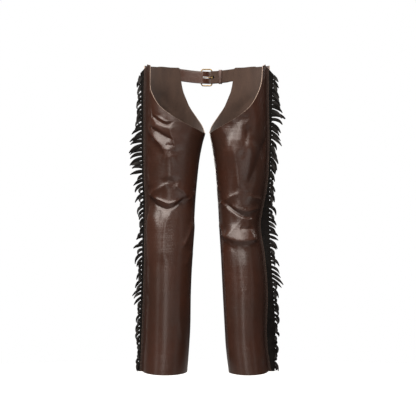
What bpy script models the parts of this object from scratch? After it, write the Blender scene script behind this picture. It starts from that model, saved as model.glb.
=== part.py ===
"""Western leather chaps: two leather legs open at the seat, black fringe down each outer seam, front belt.

Metres, +Z up, the front faces -Y and the left leg is at +X. The tables below are in millimetres, with
heights above the ground. The origin is the centre of the waist opening.
"""

import math

import bmesh
import bpy
import numpy as np
from mathutils import Vector

MM = 0.001
WAIST_HEIGHT = 963.0
HEM_HEIGHT = 63.0
HIP_START, HIP_FULL = 775.0, 930.0

SHARP_ANGLE = 40.0
LEATHER = 2.0
GAP = 0.3
BELT_THICK = 3.0
BELT_WIDTH = 38.0
BELT_DIP = 12.0
FIN_WIDTH = 9.0
FRONT_FIN_WIDTH = 8.0
FRONT_FIN_SHORT = 5.0
BEND_ANGLE = 12.0
SLANT_TOP = 982.0
FRONT_TOP = 980.0
BACK_HEM_DROP = 5.0
SLANT_CORNER = {"left": 176.0, "right": 172.0}

STRAND_PITCH = 13.0
STRAND_WIDTH = 8.6
STRAND_TIP = 3.4
STRAND_SEED = 7
STRAND_STEPS = 3
TOP_STRAND = 948.0
LOW_STRAND = 74.0

# Each leg seen from behind: distance from the midline of its inner edge, of the brown leather's outer edge
# at the seam, and of the fringe strip's outer edge, where the strands start.
LEG_COLUMNS = ("height", "inner", "seam", "roots")
LEGS = {
    "left": (
        (60, 60, 201, 206),
        (140, 54, 197, 203),
        (190, 51, 195, 202),
        (300, 49, 191, 198),
        (420, 44, 188, 195),
        (516, 39, 187, 193),
        (570, 36, 186, 192),
        (640, 30, 189, 195),
        (700, 23, 190, 196),
        (750, 13, 190, 197),
        (775, 6, 190, 197),
        (830, 0, 190, 198),
        (880, -4, 190, 198),
        (930, -6, 189, 199),
        (985, -8, 188, 202),
    ),
    "right": (
        (60, 66, 192, 203),
        (140, 57, 181, 205),
        (190, 54, 179, 205),
        (300, 48, 182, 199),
        (420, 42, 172, 191),
        (500, 37, 161, 187),
        (545, 35, 167, 187),
        (600, 31, 178, 188),
        (640, 28, 183, 190),
        (700, 21, 186, 192),
        (750, 13, 187, 193),
        (775, 8, 187, 194),
        (830, 0, 186, 195),
        (880, -4, 185, 196),
        (930, -6, 185, 199),
        (985, -8, 184, 202),
    ),
}
# How far the leg and the hips reach to the front and to the back.
DEPTH_COLUMNS = ("height", "front", "back", "hip_front", "hip_back")
DEPTHS = (
    (60, -84, 102, -118, 122),
    (190, -83, 94, -118, 122),
    (300, -80, 92, -118, 122),
    (400, -82, 87, -118, 122),
    (500, -90, 77, -118, 122),
    (560, -93, 79, -118, 122),
    (650, -98, 87, -118, 122),
    (720, -103, 94, -118, 122),
    (775, -108, 99, -118, 124),
    (850, -114, 106, -119, 126),
    (925, -114, 107, -115, 119),
    (985, -112, 108, -114, 112),
)
# The cut edge over the seat, from the top at the hip down to the inner leg.
EDGE_COLUMNS = ("across", "height")
SEAT_EDGE = {
    "left": ((169, 978), (168, 909), (158, 882), (140, 854), (113, 832), (82, 812), (47, 794), (7, 775)),
    "right": ((166, 976), (161, 923), (149, 889), (128, 854), (107, 834), (76, 813), (42, 794), (9, 776)),
}
# The cut edge of the open front, from the belt down to the inner leg.
FRONT_EDGE = ((84, 978), (72, 905), (54, 862), (32, 828), (14, 799), (6.5, 777))

# Heights of the rows of points below the crotch, closer together where the knee folds.
BACK_ROWS = (
    63, 105, 150, 195, 240, 285, 330, 372, 410, 443, 470, 492, 510, 526, 541, 555, 568, 581, 595, 612, 635,
    665, 700, 735,
)
FRONT_ROWS = (63, 120, 180, 240, 300, 360, 415, 460, 485, 505, 525, 545, 565, 585, 610, 650, 695, 735)

# The largest folds: a soft ridge from one end to the other, seen square on, with a trough below it.
FOLD_COLUMNS = ("face", "across_a", "height_a", "across_b", "height_b", "bow", "width", "rise")
FOLDS = {
    "left": (
        ("back", 172, 852, 88, 826, -17, 11, 5.0),
        ("back", 176, 800, 92, 770, -14, 12, 4.0),
        ("back", 176, 590, 58, 592, -32, 11, 5.0),
        ("back", 112, 745, 108, 640, 4, 13, 3.5),
        ("back", 66, 600, 92, 430, 6, 12, 3.5),
        ("back", 138, 545, 132, 330, 3, 20, 3.0),
        ("front", 176, 560, 60, 545, 22, 13, 4.5),
        ("front", 168, 500, 70, 492, -18, 12, 4.0),
        ("front", 150, 900, 84, 832, -10, 14, 4.0),
        ("front", 120, 300, 96, 130, 5, 16, 3.0),
    ),
    "right": (
        ("back", 160, 842, 70, 800, -15, 14, 4.5),
        ("back", 64, 576, 164, 585, 30, 11, 5.0),
        ("back", 108, 775, 104, 620, -5, 15, 3.5),
        ("back", 62, 566, 90, 440, -6, 11, 3.5),
        ("back", 150, 505, 70, 500, 8, 13, 3.0),
        ("back", 112, 470, 112, 300, 3, 20, 3.0),
        ("front", 168, 566, 58, 540, -22, 13, 4.5),
        ("front", 160, 498, 66, 500, 18, 12, 4.0),
        ("front", 146, 896, 82, 836, 10, 14, 4.0),
        ("front", 112, 320, 100, 150, -5, 16, 3.0),
    ),
}
FOLD_TROUGH = 0.55

# How far the strands reach out and hang down at each height, in millimetres.
FRINGE_COLUMNS = ("height", "reach", "hang")
FRINGE = {
    "left": (
        (60, 10, 26),
        (130, 16, 24),
        (190, 17, 26),
        (250, 13, 20),
        (285, 25, 26),
        (320, 13, 20),
        (360, 24, 24),
        (400, 22, 22),
        (430, 26, 20),
        (480, 12, 18),
        (540, 11, 20),
        (590, 17, 28),
        (640, 24, 27),
        (700, 31, 20),
        (760, 32, 19),
        (830, 29, 20),
        (880, 20, 24),
        (948, 13, 18),
    ),
    "right": (
        (60, 12, 24),
        (130, 15, 25),
        (190, 14, 22),
        (250, 21, 28),
        (310, 24, 30),
        (345, 29, 28),
        (390, 20, 24),
        (440, 21, 22),
        (480, 25, 24),
        (540, 21, 26),
        (590, 20, 26),
        (640, 22, 24),
        (700, 23, 24),
        (760, 30, 24),
        (800, 42, 20),
        (850, 40, 24),
        (900, 24, 24),
        (948, 15, 18),
    ),
}
REACH_JITTER, HANG_JITTER, SWAY = 4.0, 3.0, 9.0

# The belt seen from the front: places along it from the midline, to the left if positive.
BELT_END = 143.0
HEEL_BAR, FREE_BAR = -15.0, 17.0
CLIMB_START, CLIMB_END = 14.0, -7.0
FOLD_LENGTH = 34.0
TONGUE_END = -74.0
LOOP_RADIUS, LOOP_LENGTH, LOOP_OPEN = 5.5, 42.0, 32.0
KEEPER_AT, KEEPER_WIDTH, KEEPER_THICK, KEEPER_EASE = -40.0, 9.0, 1.8, 0.8
BAR_RADIUS, PRONG_RADIUS = 2.0, 1.3
BUCKLE_HALF_HEIGHT, BUCKLE_CORNER = 25.0, 7.0
PRONG_SLOT = (17.0, 5.0)
WRAP_SLOT = (16.0, 9.0)
SLOT_AT, CUT_DEPTH = 4.0, 30.0
RIVET_RADIUS, RIVET_RISE = 5.0, 2.2
LOOP_RIVET, CORNER_RIVET = 106.0, 94.0
CORNER_RIVET_DROP = -11.0

# Distances outside the leather's middle surface to the middle of each layer of the belt.
PANEL_OFFSET = LEATHER / 2 + GAP + BELT_THICK / 2
WRAP_RADIUS = BAR_RADIUS + 2 * GAP + BELT_THICK / 2
BAR_OFFSET = PANEL_OFFSET + WRAP_RADIUS
FOLD_OFFSET = PANEL_OFFSET + 2 * WRAP_RADIUS
TONGUE_OFFSET = FOLD_OFFSET + BELT_THICK + GAP
LAP_OFFSET = PANEL_OFFSET + BELT_THICK + GAP


def clear_scene():
    """Empty the scene of all its objects."""
    for item in list(bpy.data.objects):
        bpy.data.objects.remove(item, do_unlink=True)


def column(rows, names, name):
    """One named column of a table."""
    place = names.index(name)
    return np.array([row[place] for row in rows], dtype=float)


def smooth(xs, ys, x):
    """A smooth curve through the points: cubic between neighbours, its slope at each point the mean of the
    slopes beside it."""
    steps = np.diff(ys) / np.diff(xs)
    slopes = np.concatenate([steps[:1], (steps[1:] + steps[:-1]) / 2, steps[-1:]])
    x = np.clip(x, xs[0], xs[-1])
    k = np.clip(np.searchsorted(xs, x, side="right") - 1, 0, len(xs) - 2)
    wide = xs[k + 1] - xs[k]
    t = (x - xs[k]) / wide
    start = ys[k] * (1 + 2 * t) * (1 - t) ** 2 + slopes[k] * wide * t * (1 - t) ** 2
    end = ys[k + 1] * t * t * (3 - 2 * t) + slopes[k + 1] * wide * t * t * (t - 1)
    return start + end


def ramp(x, low, high):
    """0 up to low, 1 from high on, smooth between."""
    t = np.clip((x - low) / (high - low), 0, 1)
    return t * t * (3 - 2 * t)


def leg_value(side, name, height):
    rows = LEGS[side]
    return smooth(column(rows, LEG_COLUMNS, "height"), column(rows, LEG_COLUMNS, name), height)


def depth_value(name, height):
    return smooth(column(DEPTHS, DEPTH_COLUMNS, "height"), column(DEPTHS, DEPTH_COLUMNS, name), height)


def seam_depth(height):
    """Where the side seam lies between front and back: the middle of the leg, and 0 at the hips."""
    middle = (depth_value("front", height) + depth_value("back", height)) / 2
    return middle * (1 - ramp(height, HIP_START, HIP_FULL))


def outer_edge(side, face, height):
    """How far out the round of the leg comes before it turns into the flat fin at the seam."""
    if face == "back":
        return leg_value(side, "seam", height) - FIN_WIDTH
    return leg_value(side, "roots", height) - FRONT_FIN_SHORT - FRONT_FIN_WIDTH


def oval(side, face, angle, height):
    """A point of the round: the leg's own oval, turning into half of the hips' oval above the crotch. The
    angle is 0 at the side seam and 180 degrees at the inner leg."""
    turn = np.radians(angle)
    outer = outer_edge(side, face, height)
    inner = leg_value(side, "inner", height)
    middle = (depth_value("front", height) + depth_value("back", height)) / 2
    reach = np.abs(depth_value(face, height) - middle)
    sign = 1.0 if face == "back" else -1.0
    leg_x = inner + (outer - inner) * (1 + np.cos(turn)) / 2
    leg_y = middle + sign * reach * np.sin(turn)
    hip_x = outer * np.cos(turn / 2)
    hip_y = depth_value("hip_" + face, height) * np.sin(turn / 2)
    share = ramp(height, HIP_START, HIP_FULL)
    return leg_x * (1 - share) + hip_x * share, leg_y * (1 - share) + hip_y * share


def fin_edge(side, face, height):
    if face == "back":
        return leg_value(side, "seam", height)
    return leg_value(side, "roots", height) - FRONT_FIN_SHORT


def section(side, face, place, height):
    """A point of a panel's middle surface. Place runs from -2 at the fin's outer edge over -1 where the fin
    starts to bend and 0 where the round starts, on to 180 degrees at the inner leg."""
    place, height = np.broadcast_arrays(np.asarray(place, float), np.asarray(height, float))
    sign = 1.0 if face == "back" else -1.0
    fin_y = seam_depth(height) + sign * (LEATHER + GAP)
    edge = fin_edge(side, face, height)
    corner = outer_edge(side, face, height)
    start_x = corner + 0.3 * (edge - corner)
    angle = BEND_ANGLE + (180 - BEND_ANGLE) * np.clip(place, 0, None) / 180
    round_x, round_y = oval(side, face, angle, height)
    bend = np.clip(place + 1, 0, 1)
    first_x, first_y = oval(side, face, np.full_like(height, BEND_ANGLE), height)
    bend_x = (1 - bend) ** 2 * start_x + 2 * bend * (1 - bend) * corner + bend**2 * first_x
    bend_y = (1 - bend) ** 2 * fin_y + 2 * bend * (1 - bend) * fin_y + bend**2 * first_y
    flat_x = start_x + (edge - start_x) * np.clip(-1 - place, 0, 1)
    x = np.where(place >= 0, round_x, np.where(place >= -1, bend_x, flat_x))
    y = np.where(place >= 0, round_y, np.where(place >= -1, bend_y, fin_y))
    return x, y


def relief(side, face, across, height):
    """How far the folds push the leather out: each is a bowed ridge with a softer trough under it, and it
    fades towards its ends."""
    push = np.zeros_like(across)
    for fold in FOLDS[side]:
        row = dict(zip(FOLD_COLUMNS, fold))
        if row["face"] != face:
            continue
        along_x, along_z = row["across_b"] - row["across_a"], row["height_b"] - row["height_a"]
        length = math.hypot(along_x, along_z)
        off_x, off_z = across - row["across_a"], height - row["height_a"]
        t = (off_x * along_x + off_z * along_z) / length**2
        aside = (off_z * along_x - off_x * along_z) / length
        arch = np.clip(4 * t * (1 - t), 0, 1)
        aside = aside - row["bow"] * arch
        ends = arch**0.75
        ridge = np.exp(-((aside / row["width"]) ** 2))
        trough = np.exp(-(((np.abs(aside) - 2 * row["width"]) / row["width"]) ** 2))
        push += row["rise"] * ends * (ridge - FOLD_TROUGH * trough)
    return push


def panel_point(side, face, place, height):
    """A point of a panel and its outward direction, in millimetres, folds included."""
    hand = 1.0 if side == "left" else -1.0
    sign = 1.0 if face == "back" else -1.0
    small_place, small_height = 0.02, 0.5

    def bare(p, h):
        x, y = section(side, face, p, h)
        return np.stack([hand * x, y, np.broadcast_to(h, x.shape)], axis=-1)

    def outward(p, h):
        across = bare(p + small_place, h) - bare(p - small_place, h)
        upward = bare(p, h + small_height) - bare(p, h - small_height)
        way = np.cross(across, upward) * hand * sign
        return way / np.linalg.norm(way, axis=-1, keepdims=True)

    place, height = np.broadcast_arrays(np.asarray(place, float), np.asarray(height, float))
    spot = bare(place, height)
    way = outward(place, height)
    calm = ramp(place, 4, 30) * (1 - ramp(place, 150, 176))
    push = relief(side, face, np.abs(spot[..., 0]), height) * calm
    return spot + way * push[..., None], way


def wall(outer, inner):
    """A closed wall between two grids of points: two skins and the rim round them."""
    rows, columns = outer.shape[:2]
    points = np.concatenate([outer.reshape(-1, 3), inner.reshape(-1, 3)])
    number = np.arange(rows * columns).reshape(rows, columns)
    other = number + rows * columns
    faces = []
    for r in range(rows - 1):
        for c in range(columns - 1):
            a, b, d, e = number[r, c], number[r, c + 1], number[r + 1, c + 1], number[r + 1, c]
            faces.append((a, b, d, e))
            faces.append(tuple(v + rows * columns for v in (e, d, b, a)))
    ring = list(number[0, :]) + list(number[1:, -1]) + list(number[-1, -2::-1]) + list(number[-2:0:-1, 0])
    back = list(other[0, :]) + list(other[1:, -1]) + list(other[-1, -2::-1]) + list(other[-2:0:-1, 0])
    for k in range(len(ring)):
        nxt = (k + 1) % len(ring)
        faces.append((ring[k], back[k], back[nxt], ring[nxt]))
    return points, faces


def make_object(name, points, faces, material):
    """A mesh object from points in millimetres above the ground, faces turned outwards."""
    mesh = bpy.data.meshes.new(name)
    placed = (np.asarray(points, float) - (0, 0, WAIST_HEIGHT)) * MM
    mesh.from_pydata([tuple(map(float, p)) for p in placed], [], [tuple(map(int, f)) for f in faces])
    shape = bmesh.new()
    shape.from_mesh(mesh)
    bmesh.ops.recalc_face_normals(shape, faces=shape.faces)
    bmesh.ops.triangulate(shape, faces=shape.faces)
    shape.to_mesh(mesh)
    shape.free()
    mesh.materials.append(material)
    mesh.shade_smooth()
    mesh.set_sharp_from_angle(angle=math.radians(SHARP_ANGLE))
    item = bpy.data.objects.new(name, mesh)
    bpy.context.scene.collection.objects.link(item)
    return item


def finish(name, colour, roughness, metallic=0.0):
    """A plain material."""
    material = bpy.data.materials.new(name)
    material.use_nodes = True
    shader = material.node_tree.nodes["Principled BSDF"]
    shader.inputs["Base Color"].default_value = (*colour, 1)
    shader.inputs["Roughness"].default_value = roughness
    shader.inputs["Metallic"].default_value = metallic
    return material


def edge_places(side, face, edge):
    """The places round the leg where a cut edge passes, one for each row of its table."""
    tries = np.linspace(0, 180, 721)
    places = []
    for across, height in edge:
        x, _ = section(side, face, tries, height)
        places.append(float(np.interp(-across, -x, tries)))
    return np.array(places)


def panel_top(side, face, places, edge_at, edge):
    """The height of a panel's top edge over each place: slanted on the fin, level at the hip, then down
    the cut edge."""
    heights = column(edge, EDGE_COLUMNS, "height")
    hip_top = SLANT_TOP if face == "back" else FRONT_TOP
    at_edge = heights[0] if face == "back" else hip_top
    at_hip = np.interp(places, [0, edge_at[0]], [hip_top, at_edge])
    top = np.where(places < edge_at[0], at_hip, np.interp(places, edge_at, heights))
    corner = SLANT_CORNER[side]
    for k, place in enumerate(places):
        if place < 0:
            x, _ = section(side, face, place, SLANT_TOP - 10)
            top[k] = min(hip_top, SLANT_TOP - (float(x) - corner))
    return top


def panel(side, face, rows, upper_rows, columns, material):
    """One leather panel: half of a leg, from the fin at the side seam round to the inner leg. Its columns are
    counted before and after the stretch where the cut edge drops steeply."""
    edge = SEAT_EDGE[side] if face == "back" else FRONT_EDGE
    edge_at = edge_places(side, face, edge)
    before, after = columns
    places = np.concatenate([
        [-2, -1, -0.5],
        np.linspace(0, edge_at[0], before),
        [(edge_at[0] + edge_at[1]) / 2, edge_at[1]],
        np.linspace(edge_at[1], 180, after)[1:],
    ])
    top = panel_top(side, face, places, edge_at, edge)
    hem = np.full(len(places), HEM_HEIGHT)
    if face == "back":
        hem = HEM_HEIGHT - BACK_HEM_DROP * np.sin(np.radians(np.clip(places, 0, 180)))
    low = np.array(rows[1:], float)[:, None] + 0 * hem
    high = np.linspace(0, 1, upper_rows + 1)[1:, None] * (top - rows[-1]) + rows[-1]
    heights = np.concatenate([hem[None, :], low, high])
    grid_places = np.broadcast_to(places, heights.shape)
    spots, ways = panel_point(side, face, grid_places, heights)
    sign = 1.0 if face == "back" else -1.0
    spots[:, -1, 1] = spots[:, -1, 1] + sign * GAP / 2
    outer = spots + ways * LEATHER / 2
    inner = spots - ways * LEATHER / 2
    points, faces = wall(outer, inner)
    return make_object(f"{side}_{face}_panel", points, faces, material)


def strand_table(side):
    """Each strand's middle height, reach, hang and sway, uneven from one to the next. Neighbours sway to
    opposite sides, so that none touches the next."""
    count = int((TOP_STRAND - LOW_STRAND) / STRAND_PITCH) + 1
    rng = np.random.default_rng(STRAND_SEED + (0 if side == "left" else 1))
    heights = TOP_STRAND - STRAND_PITCH * np.arange(count)
    rows = FRINGE[side]
    at = column(rows, FRINGE_COLUMNS, "height")
    reach = smooth(at, column(rows, FRINGE_COLUMNS, "reach"), heights)
    hang = smooth(at, column(rows, FRINGE_COLUMNS, "hang"), heights)
    reach = np.maximum(reach + REACH_JITTER * rng.uniform(-1, 1, count), 8)
    hang = np.maximum(hang + HANG_JITTER * rng.uniform(-1, 1, count), 10)
    sway = SWAY * (-1.0) ** np.arange(count) * rng.uniform(0.6, 1, count)
    return heights, reach, hang, sway


def strand_path(t, reach, hang, sway):
    """A strand's middle line from its root: straight out, then over and down like a hanging claw."""
    out = reach * np.sin(1.35 * t) / math.sin(1.35)
    down = -hang * t**1.7
    return np.stack([out, sway * t**1.5, down], axis=-1)


def fringe(side, material):
    """The black strip in the side seam, its outer edge cut into strands that stand out and droop."""
    hand = 1.0 if side == "left" else -1.0
    heights, reach, hang, sway = strand_table(side)
    half = STRAND_WIDTH / 2
    cuts = [HEM_HEIGHT]
    for height in heights[::-1]:
        cuts += [height - half, height + half]
    points, faces = [], []
    corner = SLANT_CORNER[side]

    def strip_row(height_in, height_out):
        """Four corners across the strip: inner edge back and front, outer edge front and back."""
        inner = float(leg_value(side, "seam", height_in)) - FIN_WIDTH + 3.5
        outer = float(leg_value(side, "roots", height_out))
        thick = LEATHER / 2
        start = len(points)
        y_in, y_out = float(seam_depth(height_in)), float(seam_depth(height_out))
        points.append((hand * inner, y_in + thick, height_in))
        points.append((hand * inner, y_in - thick, height_in))
        points.append((hand * outer, y_out - thick, height_out))
        points.append((hand * outer, y_out + thick, height_out))
        return [start, start + 1, start + 2, start + 3]

    rows = [strip_row(height, height) for height in cuts]
    inner_top = SLANT_TOP - (float(leg_value(side, "seam", SLANT_TOP)) - FIN_WIDTH + 3.5 - corner)
    outer_top = SLANT_TOP - (float(leg_value(side, "roots", SLANT_TOP)) - corner)
    rows.append(strip_row(inner_top, outer_top))
    faces.append(tuple(rows[0]))
    faces.append(tuple(reversed(rows[-1])))
    for k in range(len(rows) - 1):
        a, b = rows[k], rows[k + 1]
        for c in range(4):
            d = (c + 1) % 4
            is_root = c == 2 and k % 2 == 1
            if not is_root:
                faces.append((a[c], a[d], b[d], b[c]))
    for k, height in enumerate(heights[::-1]):
        low, high = rows[2 * k + 1], rows[2 * k + 2]
        ring = [low[2], low[3], high[3], high[2]]
        n = len(heights) - 1 - k
        root_x = float(leg_value(side, "roots", height))
        root_y = float(seam_depth(height))
        for step in range(1, STRAND_STEPS + 1):
            t = step / STRAND_STEPS
            spot = strand_path(np.array(t), reach[n], hang[n], sway[n])
            ahead = strand_path(np.array(t + 0.01), reach[n], hang[n], sway[n])
            way = (ahead - spot) / np.linalg.norm(ahead - spot)
            across = np.array([way[2], 0, -way[0]])
            across = across / np.linalg.norm(across)
            wide = half + (STRAND_TIP / 2 - half) * t
            thick = LEATHER / 2 * (1 - 0.35 * t)
            fresh = []
            for w, y in ((1, -1), (1, 1), (-1, 1), (-1, -1)):
                p = spot + across * wide * w + np.array([0, thick * y, 0])
                points.append((hand * (root_x + p[0]), root_y + p[1], height + p[2]))
                fresh.append(len(points) - 1)
            for c in range(4):
                d = (c + 1) % 4
                faces.append((ring[c], ring[d], fresh[d], fresh[c]))
            ring = fresh
        faces.append(tuple(ring))
    return make_object(f"{side}_fringe", points, faces, material)


def hip_angle(across):
    """The angle round the hips' oval for a distance along the front from the midline."""
    turn = np.radians(np.linspace(-100, 100, 801))
    wide = float(outer_edge("left", "front", WAIST_HEIGHT))
    deep = float(-depth_value("hip_front", WAIST_HEIGHT))
    steps = np.hypot(np.diff(wide * np.sin(turn)), np.diff(deep * np.cos(turn)))
    run = np.concatenate([[0], np.cumsum(steps)])
    return np.interp(across, run - run[len(run) // 2], turn)


def belt_line(across, offset, height):
    """A point by its distance along the front of the hips from the midline, to the left if positive, and
    its distance outside the leather's middle surface at that height."""
    turn = hip_angle(across)
    wide = np.where(turn > 0, outer_edge("left", "front", height), outer_edge("right", "front", height))
    deep = -depth_value("hip_front", height)
    way_x, way_y = np.sin(turn) / wide, -np.cos(turn) / deep
    size = np.hypot(way_x, way_y)
    x = wide * np.sin(turn) + way_x / size * offset
    y = -deep * np.cos(turn) + way_y / size * offset
    return np.stack([x, y, height], axis=-1)


def belt_height(across):
    """The belt's middle height: lowest at the front midline."""
    return WAIST_HEIGHT - BELT_DIP * (1 - ramp(np.abs(across), 0, 150))


def strap(name, along, out, half_height, thick, material, round_end=False):
    """A strap as a wall: a line seen from above, given by places along the hips and offsets from them."""
    along, out = np.asarray(along, float), np.asarray(out, float)
    halves = np.full(len(along), half_height)
    if round_end:
        halves[-1], halves[-2] = half_height * 0.55, half_height * 0.86
    rows = [belt_line(along, out, belt_height(along) + share * halves) for share in (-1, 0, 1)]
    grid = np.stack(rows)
    step = np.gradient(grid[1], axis=0)
    way = np.cross(step, (0, 0, 1))
    way = way / np.linalg.norm(way, axis=1, keepdims=True)
    way = np.broadcast_to(way, grid.shape)
    points, faces = wall(grid + way * thick / 2, grid - way * thick / 2)
    return make_object(name, points, faces, material)


def hip_loop(hand):
    """The hip end of a belt half, as places along the hips and offsets: from its riveted end it runs to
    the hip, turns round and comes back against the leather."""
    inward = np.array([LOOP_LENGTH, LOOP_OPEN, 25, 18, 10])
    out = LAP_OFFSET + (PANEL_OFFSET + 2 * LOOP_RADIUS - LAP_OFFSET) * (1 - ramp(inward, 5, LOOP_OPEN))
    turns = np.radians(np.linspace(90, -90, 7))
    along = np.concatenate([BELT_END - inward, BELT_END + LOOP_RADIUS * np.cos(turns)])
    out = np.concatenate([out, PANEL_OFFSET + LOOP_RADIUS + LOOP_RADIUS * np.sin(turns)])
    return hand * along, out


def cutting_box(name, across, size):
    """A hidden box that cuts a slot right through the straps in front of the midline."""
    centre = belt_line(np.array(across), np.array(FOLD_OFFSET), np.array(0.0))
    centre[2] = belt_height(across) - WAIST_HEIGHT
    shape = bmesh.new()
    bmesh.ops.create_cube(shape, size=1)
    for corner in shape.verts:
        corner.co = Vector((corner.co.x * size[0], corner.co.y * CUT_DEPTH, corner.co.z * size[1])) * MM
    mesh = bpy.data.meshes.new(name)
    shape.to_mesh(mesh)
    shape.free()
    item = bpy.data.objects.new(name, mesh)
    item.location = Vector(centre) * MM
    item.hide_render = True
    item.display_type = "WIRE"
    bpy.context.scene.collection.objects.link(item)
    return item


def cut(item, box):
    """Take a hidden box out of an object."""
    change = item.modifiers.new("cut", "BOOLEAN")
    change.operation = "DIFFERENCE"
    change.object = box


def buckle_belt_half(material):
    """The right half: looped at the hip, wrapped round the buckle's heel bar and folded back."""
    loop_along, loop_out = hip_loop(-1)
    straight = np.linspace(-BELT_END, HEEL_BAR, 12)[1:-1]
    turns = np.radians(np.linspace(-90, 90, 9))
    folded = np.linspace(HEEL_BAR, HEEL_BAR - FOLD_LENGTH, 4)[1:]
    along = np.concatenate([loop_along, straight, HEEL_BAR + WRAP_RADIUS * np.cos(turns), folded])
    out = np.concatenate([
        loop_out,
        np.full(len(straight), PANEL_OFFSET),
        BAR_OFFSET + WRAP_RADIUS * np.sin(turns),
        np.full(len(folded), FOLD_OFFSET),
    ])
    half = strap("right_belt", along, out, BELT_WIDTH / 2, BELT_THICK, material)
    cut(half, cutting_box("wrap_slot", HEEL_BAR, WRAP_SLOT))


def tongue_belt_half(material):
    """The left half: looped at the hip, it goes behind the free bar, over the heel bar and the keeper."""
    loop_along, loop_out = hip_loop(1)
    straight = np.linspace(BELT_END, FREE_BAR + 6, 10)[1:]
    climb = np.linspace(CLIMB_START, CLIMB_END, 8)
    lift = PANEL_OFFSET + (TONGUE_OFFSET - PANEL_OFFSET) * ramp(-climb, -CLIMB_START, -CLIMB_END)
    tongue = np.linspace(CLIMB_END - 4, TONGUE_END, 8)
    along = np.concatenate([loop_along, straight, climb, tongue])
    out = np.concatenate([
        loop_out,
        np.full(len(straight), PANEL_OFFSET),
        lift,
        np.full(len(tongue), TONGUE_OFFSET),
    ])
    half = strap("left_belt", along, out, BELT_WIDTH / 2, BELT_THICK, material, round_end=True)
    cut(half, cutting_box("prong_slot", SLOT_AT, PRONG_SLOT))


def tube(name, path, radius, sides, material, closed=False):
    """A round bar along a path in the plane or in space, its ends flat unless it closes on itself."""
    path = np.asarray(path, float)
    if closed:
        way = np.roll(path, -1, axis=0) - np.roll(path, 1, axis=0)
    else:
        way = np.gradient(path, axis=0)
    way = way / np.linalg.norm(way, axis=1, keepdims=True)
    flat = np.linalg.svd(path - path.mean(axis=0))[2][2]
    aside = np.cross(way, flat)
    aside = aside / np.linalg.norm(aside, axis=1, keepdims=True)
    turns = 2 * np.pi * np.arange(sides) / sides
    rings = path[:, None] + radius * (
        np.cos(turns)[None, :, None] * aside[:, None] + np.sin(turns)[None, :, None] * flat
    )
    count = len(path)
    faces = []
    for k in range(count if closed else count - 1):
        for s in range(sides):
            a, b = k * sides + s, k * sides + (s + 1) % sides
            c, d = (k + 1) % count * sides + (s + 1) % sides, (k + 1) % count * sides + s
            faces.append((a, b, c, d))
    if not closed:
        faces.append(tuple(range(sides)))
        faces.append(tuple(reversed(range((count - 1) * sides, count * sides))))
    return make_object(name, rings.reshape(-1, 3), faces, material)


def buckle_point(across, out, up):
    """A point at the buckle: place along the belt, offset, and height above the belt's middle."""
    across, out = np.broadcast_arrays(np.asarray(across, float), np.asarray(out, float))
    spot = belt_line(across, out, np.full(across.shape, WAIST_HEIGHT - BELT_DIP))
    spot[..., 2] = WAIST_HEIGHT - BELT_DIP + up
    return spot


def buckle(material):
    """A plain heel-bar buckle: a frame bent from round bar, and a prong that wraps the heel bar."""
    middle = (HEEL_BAR + FREE_BAR) / 2
    half_wide = (FREE_BAR - HEEL_BAR) / 2
    round_x, round_z = half_wide - BUCKLE_CORNER, BUCKLE_HALF_HEIGHT - BUCKLE_CORNER
    across, up = [], []
    for corner, (sx, sz) in enumerate(((1, 1), (-1, 1), (-1, -1), (1, -1))):
        turns = np.radians(np.linspace(0, 90, 4) + 90 * corner)
        across += list(middle + sx * round_x + BUCKLE_CORNER * np.cos(turns))
        up += list(sz * round_z + BUCKLE_CORNER * np.sin(turns))
    frame_path = buckle_point(across, BAR_OFFSET, np.array(up))
    tube("buckle_frame", frame_path, BAR_RADIUS, 8, material, closed=True)
    grip = BAR_RADIUS + GAP + PRONG_RADIUS
    turns = np.radians(np.linspace(330, 90, 8))
    tip_out = BAR_OFFSET + BAR_RADIUS + GAP + PRONG_RADIUS
    reach = np.linspace(HEEL_BAR + 3, FREE_BAR + 4, 4)
    across = np.concatenate([HEEL_BAR - grip * np.cos(turns + np.pi), reach])
    out = np.concatenate([BAR_OFFSET + grip * np.sin(turns), np.full(len(reach), tip_out)])
    tube("buckle_prong", buckle_point(across, out, 0.0), PRONG_RADIUS, 6, material)


def keeper(material):
    """A narrow leather ring that holds the tongue down over the fold."""
    half = BELT_WIDTH / 2 + KEEPER_EASE + KEEPER_THICK / 2
    low = PANEL_OFFSET - BELT_THICK / 2 - KEEPER_EASE - KEEPER_THICK / 2
    high = TONGUE_OFFSET + BELT_THICK / 2 + KEEPER_EASE + KEEPER_THICK / 2
    level = belt_height(KEEPER_AT)
    loops = []
    for push in (-KEEPER_THICK / 2, KEEPER_THICK / 2):
        for edge in (-KEEPER_WIDTH / 2, KEEPER_WIDTH / 2):
            corners = (
                (low - push, -half - push),
                (high + push, -half - push),
                (high + push, half + push),
                (low - push, half + push),
            )
            for out, up in corners:
                loops.append(belt_line(np.array(KEEPER_AT + edge), np.array(out), np.array(level + up)))
    inner_a, inner_b, outer_a, outer_b = (list(range(4 * k, 4 * k + 4)) for k in range(4))
    faces = []
    for c in range(4):
        d = (c + 1) % 4
        faces.append((outer_a[c], outer_a[d], outer_b[d], outer_b[c]))
        faces.append((inner_a[c], inner_b[c], inner_b[d], inner_a[d]))
        faces.append((outer_a[c], inner_a[c], inner_a[d], outer_a[d]))
        faces.append((outer_b[c], outer_b[d], inner_b[d], inner_b[c]))
    make_object("belt_keeper", loops, faces, material)


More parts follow.
